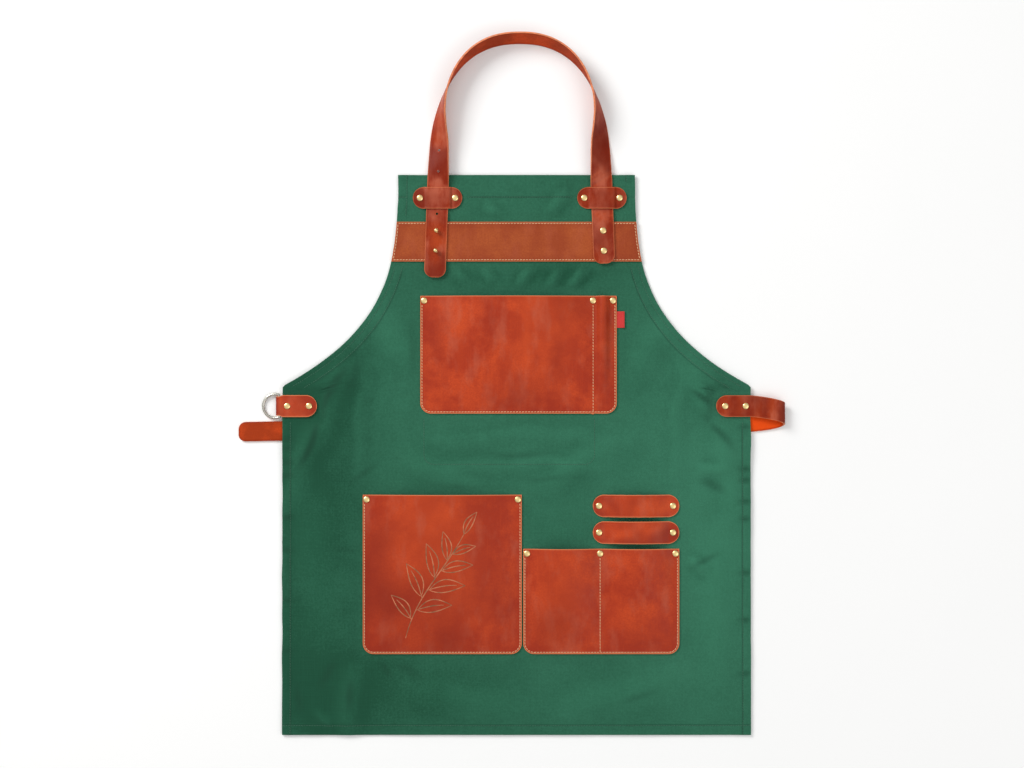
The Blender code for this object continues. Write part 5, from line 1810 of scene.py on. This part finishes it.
def fastener_from(template, node, head_height):
    """A copy of the template, stretched between its node's top and bottom."""
    low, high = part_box(node)
    mesh = template.data.copy()
    name = f"{node}_cap"
    mesh.name = name
    seat, bottom = high.z - head_height, low.z
    centre_x, centre_y = node_centre(node)
    turn = Matrix.Rotation(wander(centre_x * 90, centre_y * 90, 0) * 3, 3, "Z")
    for vertex in mesh.vertices:
        z = vertex.co.z
        spun = turn @ vertex.co
        z = seat + z if z > BACK_LEVEL / 2 else bottom + z - BACK_LEVEL
        vertex.co = (spun.x + centre_x, spun.y + centre_y, z)
    made = bpy.data.objects.new(name, mesh)
    bpy.context.collection.objects.link(made)
    return settle(made, "brass", node)


def fasteners():
    """All the rivets and studs, each a copy of one of two templates."""

    def shank_and_back():
        back_top = BACK_LEVEL + BACK_CAP + CAP_SINK
        return [
            disc(SHANK_RADIUS, back_top - 0.0001, 0.0001, 14, 0),
            disc(BACK_RADIUS, BACK_LEVEL, back_top, 24, 0.00022),
        ]

    rivet = joined("rivet_template", [cap_dome(CAP_RADIUS, CAP_HEIGHT), *shank_and_back()])
    deselect()
    bpy.ops.mesh.primitive_uv_sphere_add(
        segments=26, ring_count=16, radius=STUD_RADIUS, location=(0, 0, STUD_NECK + STUD_RADIUS)
    )
    ball = bpy.context.object
    bpy.ops.object.transform_apply(location=True, rotation=True, scale=True)
    stud = joined(
        "stud_template",
        [
            ball,
            disc(0.0019, 0.0001, 0.0026, 18, 0.0002),
            disc(0.0031, -CAP_SINK, 0.0003, 24, 0.00012),
            *shank_and_back(),
        ],
    )
    for node in frame["nodes"]:
        if "_rivet_" in node:
            fastener_from(rivet, node, CAP_HEIGHT)
        elif "_stud_" in node:
            fastener_from(stud, node, STUD_NECK + 2 * STUD_RADIUS)
    for template in (rivet, stud):
        bpy.data.objects.remove(template, do_unlink=True)


def label_piece():
    """The folded side label."""
    width, height = LABEL_HIGH.x - LABEL_LOW.x, LABEL_HIGH.y - LABEL_LOW.y

    def place(across, up):
        x, y = LABEL_LOW.x + across, LABEL_LOW.y + up
        curl = 0.0009 * smooth(across / width) ** 2
        wave = 0.0003 * (1 + math.sin(up / height * 7)) * across / width
        z = over_canvas(x, y) + curl + wave
        drop = 0.0003 * smooth((across - width + 0.0012) / 0.0012)
        return (Vector((x, y, z - drop)),)

    columns, rows = spaced([0, width], 0.0007), spaced([0, height], 0.0011)
    piece = panel("side_label_cloth", columns, rows, place)
    return wall(piece, 0.0011, 1, ("label_cloth",) * 3, bevel=0.0003)


# A stitch's sections, as shares: along its length, then lift and girth of its radius
STITCH_RINGS = (
    (-0.50, -0.9, 0.70),
    (-0.34, 0.30, 1.0),
    (0.0, 0.55, 1.0),
    (0.34, 0.30, 1.0),
    (0.50, -0.9, 0.70),
)
STITCH_SIDES, STITCH_GAP = 6, 0.24


def stitches(name, runs, length, radius, thread, slot):
    """Sewn lines as one mesh: each run is a list of points on the surface."""
    verts, faces = [], []
    for points in runs:
        lengths = lengths_along(points)
        count = max(1, round(lengths[-1] / (length * (1 + STITCH_GAP))))
        for k in range(count):
            middle, direction = point_at(points, lengths, lengths[-1] * (k + 0.5) / count)
            side = Vector((0, 0, 1)).cross(direction).normalized()
            up = direction.cross(side)
            slant = (direction + side * 0.10 * (1 if k % 2 else 0.6)).normalized()
            first = len(verts)
            reach = lengths[-1] / count / (1 + STITCH_GAP)
            for along, lift, girth in STITCH_RINGS:
                centre = middle + slant * (along * reach) + up * (lift * radius)
                for step in range(STITCH_SIDES):
                    turn = 2 * math.pi * step / STITCH_SIDES
                    spoke = side * math.cos(turn) + up * math.sin(turn)
                    verts.append(centre + spoke * (radius * girth))
            for ring in range(len(STITCH_RINGS) - 1):
                for step in range(STITCH_SIDES):
                    a = first + ring * STITCH_SIDES + step
                    b = first + ring * STITCH_SIDES + (step + 1) % STITCH_SIDES
                    faces.append((a, b, b + STITCH_SIDES, a + STITCH_SIDES))
            last = first + (len(STITCH_RINGS) - 1) * STITCH_SIDES
            faces.append([first + step for step in reversed(range(STITCH_SIDES))])
            faces.append([last + step for step in range(STITCH_SIDES)])
    made = mesh_piece(name, verts, faces, thread)
    bpy.ops.object.shade_smooth()
    return settle(made, slot)


def on_surface(points, height):
    """Plan points laid on a surface, closer together than a stitch."""
    laid = []
    for (ax, ay), (bx, by) in zip(points, points[1:]):
        count = max(1, math.ceil(math.hypot(bx - ax, by - ay) / 0.003))
        for k in range(count):
            x, y = mix(ax, bx, k / count), mix(ay, by, k / count)
            laid.append(Vector((x, y, height(x, y))))
    x, y = points[-1]
    laid.append(Vector((x, y, height(x, y))))
    return laid


def leather_stitches(name, plans, height, slot):
    """Sewn lines laid on leather."""
    own = sizes()
    runs = [on_surface(plan, height) for plan in plans]
    return stitches(name, runs, own.leather_stitch, own.thread, "tan_thread", slot)


def edge_line(side, inset, low, high):
    """Plan points of a line this far in from the body's edge, between two heights."""
    points = []
    for y in spaced([low, high], 0.006):
        slope = edge_slope(y)
        length = math.hypot(1, slope)
        points.append((side * (half_width(y) - inset / length), y - inset * slope / length))
    return points


def free_of_leather(points):
    """Parts of a line that leather doesn't cover."""
    runs, run = [], []
    for point in points:
        if leather_cover(point.x, point.y) < 0.75:
            run.append(point)
            continue
        if len(run) > 3:
            runs.append(run)
        run = []
    return runs + ([run] if len(run) > 3 else [])


def canvas_lines():
    """Sewn lines of the canvas: hems, armhole facings and the inside pocket."""
    hem, top = HEM_LINE + BOTTOM_HEM * HEM_STITCH, BIB_TOP - TOP_HEM
    plans = [[(-SKIRT_HALF + 0.001, hem), (SKIRT_HALF - 0.001, hem)]]
    inner = BIB_HALF - 0.001
    plans.append([(-inner, top), (inner, top)])
    edges = (
        (SIDE_HEM * HEM_STITCH, HEM_LINE + 0.001, SIDE_CORNER),
        (ARMHOLE_FACING * HEM_STITCH, SIDE_CORNER + 0.012, BAND_LOW.y),
        (ARMHOLE_FACING * FACING_STITCH, SIDE_CORNER + 0.006, BAND_LOW.y),
        (BIB_HEM * HEM_STITCH, BAND_HIGH.y, BIB_TOP - 0.001),
    )
    plans += [edge_line(side, *edge) for side in (-1, 1) for edge in edges]
    low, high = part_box("chest_pocket")
    plans.append(
        pocket_outline(
            low.x + INNER_POCKET_LEFT, high.x - INNER_POCKET_RIGHT, INNER_POCKET_BOTTOM, low.y,
            INNER_POCKET_CORNER, 10,
        )
    )
    return [run for plan in plans for run in free_of_leather(on_surface(plan, canvas_top))]


def sprig_lines(pocket):
    """The sprig's lines in plan: its stem, and each leaf's outline and middle vein."""
    width, height = pocket.right - pocket.left, pocket.top - pocket.bottom
    stem_points = [
        Vector((pocket.left + x * width, pocket.bottom + y * height)) for x, y in SPRIG_STEM
    ]
    stem = interpolate_bezier(*stem_points, 60)
    lines = [[(point.x, point.y) for point in stem]]
    for leaf in SPRIG_LEAVES:
        at = min(int(leaf["along"] * 59), 58)
        base, heading = stem[at], (stem[at + 1] - stem[at]).normalized()
        turn = math.radians(leaf["turn"]) * -leaf["side"]
        axis = Vector(
            (
                heading.x * math.cos(turn) - heading.y * math.sin(turn),
                heading.x * math.sin(turn) + heading.y * math.cos(turn),
            )
        )
        normal = Vector((-axis.y, axis.x))
        length = leaf["length"] * height
        for edge in (-1, 1):
            outline = []
            for k in range(17):
                share = k / 16
                swell = math.sin(math.pi * share**0.85) * leaf["width"] * length / 2
                bow = 0.06 * length * math.sin(math.pi * share) * leaf["side"]
                reach = length * (0.06 + 0.94 * share)
                point = base + axis * reach + normal * (edge * swell + bow)
                outline.append((point.x, point.y))
            lines.append(outline)
        vein = []
        for k in range(9):
            share = 0.78 * k / 8
            bow = 0.06 * length * math.sin(math.pi * share) * leaf["side"]
            point = base + axis * (length * share) + normal * bow
            vein.append((point.x, point.y))
        lines.append(vein)
    return lines


def sprig_piece(pocket):
    """A sprig of leaves burnt into the tall pocket's leather."""
    verts, faces = [], []
    for line in sprig_lines(pocket):
        points = on_surface(line, pocket.top_face)
        first = len(verts)
        for k, point in enumerate(points):
            along = (points[min(k + 1, len(points) - 1)] - points[max(k - 1, 0)]).normalized()
            side = Vector((-along.y, along.x, 0)).normalized()
            taper = 0.55 + 0.45 * math.sin(math.pi * clamp(k / (len(points) - 1)))
            reach = side * SPRIG_LINE / 2 * taper
            for offset, lift in ((-1, 0.00005), (1, 0.00005), (1, -0.0003), (-1, -0.0003)):
                edge = point + reach * offset
                z = pocket.top_face(edge.x, edge.y) + lift
                verts.append(Vector((edge.x, edge.y, z)))
        for k in range(len(points) - 1):
            a, b = first + 4 * k, first + 4 * k + 4
            for step in range(4):
                after = (step + 1) % 4
                faces.append((a + step, b + step, b + after, a + after))
        last = first + 4 * (len(points) - 1)
        faces.append((first, first + 1, first + 2, first + 3))
        faces.append((last + 3, last + 2, last + 1, last))
    return settle(mesh_piece("tall_pocket_sprig", verts, faces, "burnt_line"), "pocket_leather")


# Operators


class APRON_OT_canvas(bpy.types.Operator):
    """Build the canvas body with its hems and folds"""

    bl_idname = "apron.canvas"
    bl_label = "Canvas"

    def execute(self, context):
        piece = canvas_piece()
        settle(piece, "green_canvas", "canvas_body")
        body_area()
        return {"FINISHED"}


class APRON_OT_hems(bpy.types.Operator):
    """Sew the canvas's hems and facings"""

    bl_idname = "apron.hems"
    bl_label = "Hem stitching"

    def execute(self, context):
        own = sizes()
        stitches(
            "hem_stitching", canvas_lines(), own.canvas_stitch, own.thread * 0.8, "green_thread",
            "green_canvas",
        )
        return {"FINISHED"}


class APRON_OT_band(bpy.types.Operator):
    """Build the chest band and its stitching"""

    bl_idname = "apron.band"
    bl_label = "Chest band"

    def execute(self, context):
        settle(band_piece(), "band_leather", "chest_band")
        low, high = BAND_LOW.y + STITCH_INSET, BAND_HIGH.y - STITCH_INSET
        plans = []
        for y in (low, high):
            reach = half_width(y) - STITCH_INSET
            plans.append([(-reach, y), (reach, y)])
        for side in (-1, 1):
            plans.append(edge_line(side, STITCH_INSET, low + 0.002, high - 0.001))

        def height(x, y):
            return band_under(x, y) + POCKET_LEATHER

        leather_stitches("chest_band_stitching", plans, height, "band_leather")
        return {"FINISHED"}


class APRON_OT_pockets(bpy.types.Operator):
    """Build the leather pockets and their stitching"""

    bl_idname = "apron.pockets"
    bl_label = "Pockets"

    def execute(self, context):
        for pocket in pockets():
            settle(pocket.build(), "pocket_leather", pocket.node)
            plans = [pocket.seam(STITCH_INSET)]
            low, high = pocket.bottom + STITCH_INSET, pocket.top - SEAM_DROP
            plans += [[(divider, low), (divider, high)] for divider in pocket.dividers]
            leather_stitches(
                f"{pocket.node}_stitching", plans, pocket.top_face, "pocket_leather"
            )
        return {"FINISHED"}


class APRON_OT_sprig(bpy.types.Operator):
    """Burn a sprig of leaves into the tall pocket"""

    bl_idname = "apron.sprig"
    bl_label = "Sprig"

    def execute(self, context):
        sprig_piece(pockets()[1])
        return {"FINISHED"}


class APRON_OT_loops(bpy.types.Operator):
    """Build the tool loops and the neck strap's keepers"""

    bl_idname = "apron.loops"
    bl_label = "Tool loops and keepers"

    def execute(self, context):
        for node in ("upper_tool_loop", "lower_tool_loop"):
            # Loops are paler along the middle of their arch: stretch with a painted highlight
            piece = seated_strip(
                f"{node}_leather", node, loop_rise, POCKET_LEATHER, LEATHER_SIDES["pocket"],
                lambda share: 0.5 * bell(share - 0.5, 0.7),
            )
            settle(piece, "pocket_leather", node)
        for node in ("left_keeper", "right_keeper"):
            piece = seated_strip(
                f"{node}_leather", node, keeper_rise, TAB_LEATHER, LEATHER_SIDES["strap"],
                lambda share: 0.35 * bell(abs(share - 0.5) - 0.23, 0.08),
            )
            settle(piece, "strap_leather", node)
        return {"FINISHED"}


class APRON_OT_neck_strap(bpy.types.Operator):
    """Build the neck strap"""

    bl_idname = "apron.neck_strap"
    bl_label = "Neck strap"

    def execute(self, context):
        settle(neck_strap_piece(), "strap_leather", "neck_strap")
        return {"FINISHED"}


class APRON_OT_waist_strap(bpy.types.Operator):
    """Build the waist strap"""

    bl_idname = "apron.waist_strap"
    bl_label = "Waist strap"

    def execute(self, context):
        settle(waist_strap_piece(), "strap_leather", "waist_strap")
        return {"FINISHED"}


class APRON_OT_ring(bpy.types.Operator):
    """Build the ring and its tab"""

    bl_idname = "apron.ring"
    bl_label = "Ring and tab"

    def execute(self, context):
        settle(ring_tab_piece(), "strap_leather", "ring_tab")
        settle(ring_piece(), "nickel_plate", "d_ring", body=RING)
        return {"FINISHED"}


class APRON_OT_fasteners(bpy.types.Operator):
    """Build the brass rivets and studs"""

    bl_idname = "apron.fasteners"
    bl_label = "Rivets and studs"

    def execute(self, context):
        fasteners()
        return {"FINISHED"}


class APRON_OT_label(bpy.types.Operator):
    """Build the plain side label"""

    bl_idname = "apron.label"
    bl_label = "Side label"

    def execute(self, context):
        settle(label_piece(), "red_label", "side_label")
        return {"FINISHED"}


PIXEL = 0.0014
IMAGE_WIDTH = 1024
CAMERA_HEIGHT = 2.6
CAMERA_SENSOR = 0.036
CAMERA_X, CAMERA_Y = -0.0063, 0.0588
STUDIO_SIDES, STUDIO_CEILING, STUDIO_BACKDROP = 0.30, 0.84, 0.92
FLOOR_SIZE, FLOOR_DROP = 60, 0.0002
LIGHTS = table(
    "name place size power",
    ("key_light", (-2.3, 2.1, 2.1), 1.6, 98),
    ("fill_light", (2.3, -1.2, 2.4), 2.6, 26),
)


def soft_light(name, place, size, power):
    """A square area light turned to the apron."""
    deselect()
    bpy.ops.object.light_add(type="AREA", location=place)
    light = bpy.context.object
    light.name = name
    light.data.energy = power
    light.data.size = size
    light.rotation_euler = (-Vector(place)).to_track_quat("-Z", "Y").to_euler()


def studio_world():
    """A pale studio, brightest overhead."""
    world = bpy.data.worlds.new("studio")
    world.use_nodes = True
    tree = world.node_tree
    background = tree.nodes["Background"]
    background.inputs["Strength"].default_value = 1.0
    towards = tree.nodes.new("ShaderNodeTexCoord").outputs["Generated"]
    height = add_node(tree, "ShaderNodeSeparateXYZ", {0: towards}).outputs["Z"]
    ceiling = maths(tree, "POWER", maths(tree, "MAXIMUM", height, 0.0), 2.0)
    tone = ranged(tree, ceiling, 0.0, 1.0, STUDIO_SIDES, STUDIO_CEILING)
    seen = tree.nodes.new("ShaderNodeLightPath").outputs["Is Camera Ray"]
    shown = add_node(
        tree, "ShaderNodeMix", {0: seen, 2: tone, 3: STUDIO_BACKDROP}, data_type="FLOAT"
    ).outputs[0]
    tree.links.new(shown, background.inputs["Color"])
    return world


class APRON_OT_stage(bpy.types.Operator):
    """Set the floor, the light and the camera"""

    bl_idname = "apron.stage"
    bl_label = "Stage"

    def execute(self, context):
        deselect()
        bpy.ops.mesh.primitive_plane_add(size=FLOOR_SIZE, location=(0, 0, -FLOOR_DROP))
        floor = bpy.context.object
        floor.name = "floor"
        floor.data.materials.append(finish("pale_floor"))
        for light in LIGHTS:
            soft_light(**light)
        context.scene.world = studio_world()
        context.scene.view_settings.view_transform = "Standard"
        camera = bpy.data.cameras.new("photo_camera")
        camera.sensor_width = CAMERA_SENSOR * 1000
        camera.lens = CAMERA_SENSOR * 1000 * CAMERA_HEIGHT / (IMAGE_WIDTH * PIXEL)
        holder = bpy.data.objects.new("photo_camera", camera)
        context.collection.objects.link(holder)
        holder.location = (CAMERA_X, CAMERA_Y, CAMERA_HEIGHT)
        context.scene.camera = holder
        return {"FINISHED"}


class APRON_PT_panel(bpy.types.Panel):
    """The apron's sizes, colours and steps in the 3D view's sidebar"""

    bl_idname = "APRON_PT_panel"
    bl_label = "Gardening Apron"
    bl_space_type = "VIEW_3D"
    bl_region_type = "UI"
    bl_category = "Apron"

    def draw(self, context):
        for group in (context.scene.apron_sizes, context.scene.apron_colours):
            box = self.layout.box()
            for name in group.__annotations__:
                box.prop(group, name)
        for step in STEPS:
            self.layout.operator(step.bl_idname)


STEPS = (
    APRON_OT_stage,
    APRON_OT_waist_strap,
    APRON_OT_canvas,
    APRON_OT_hems,
    APRON_OT_band,
    APRON_OT_pockets,
    APRON_OT_sprig,
    APRON_OT_loops,
    APRON_OT_neck_strap,
    APRON_OT_ring,
    APRON_OT_fasteners,
    APRON_OT_label,
)
CLASSES = (ApronSizes, ApronColours, *STEPS, APRON_PT_panel)


def register():
    """Registers the classes and the scene's properties."""
    for cls in CLASSES:
        bpy.utils.register_class(cls)
    bpy.types.Scene.apron_sizes = PointerProperty(type=ApronSizes)
    bpy.types.Scene.apron_colours = PointerProperty(type=ApronColours)


def unregister():
    """Takes back what register did."""
    del bpy.types.Scene.apron_sizes
    del bpy.types.Scene.apron_colours
    for cls in reversed(CLASSES):
        bpy.utils.unregister_class(cls)


def main():
    """Builds the apron round its frame."""
    register()
    for step in STEPS:
        group, name = step.bl_idname.split(".")
        getattr(getattr(bpy.ops, group), name)()


if __name__ == "__main__":
    main()
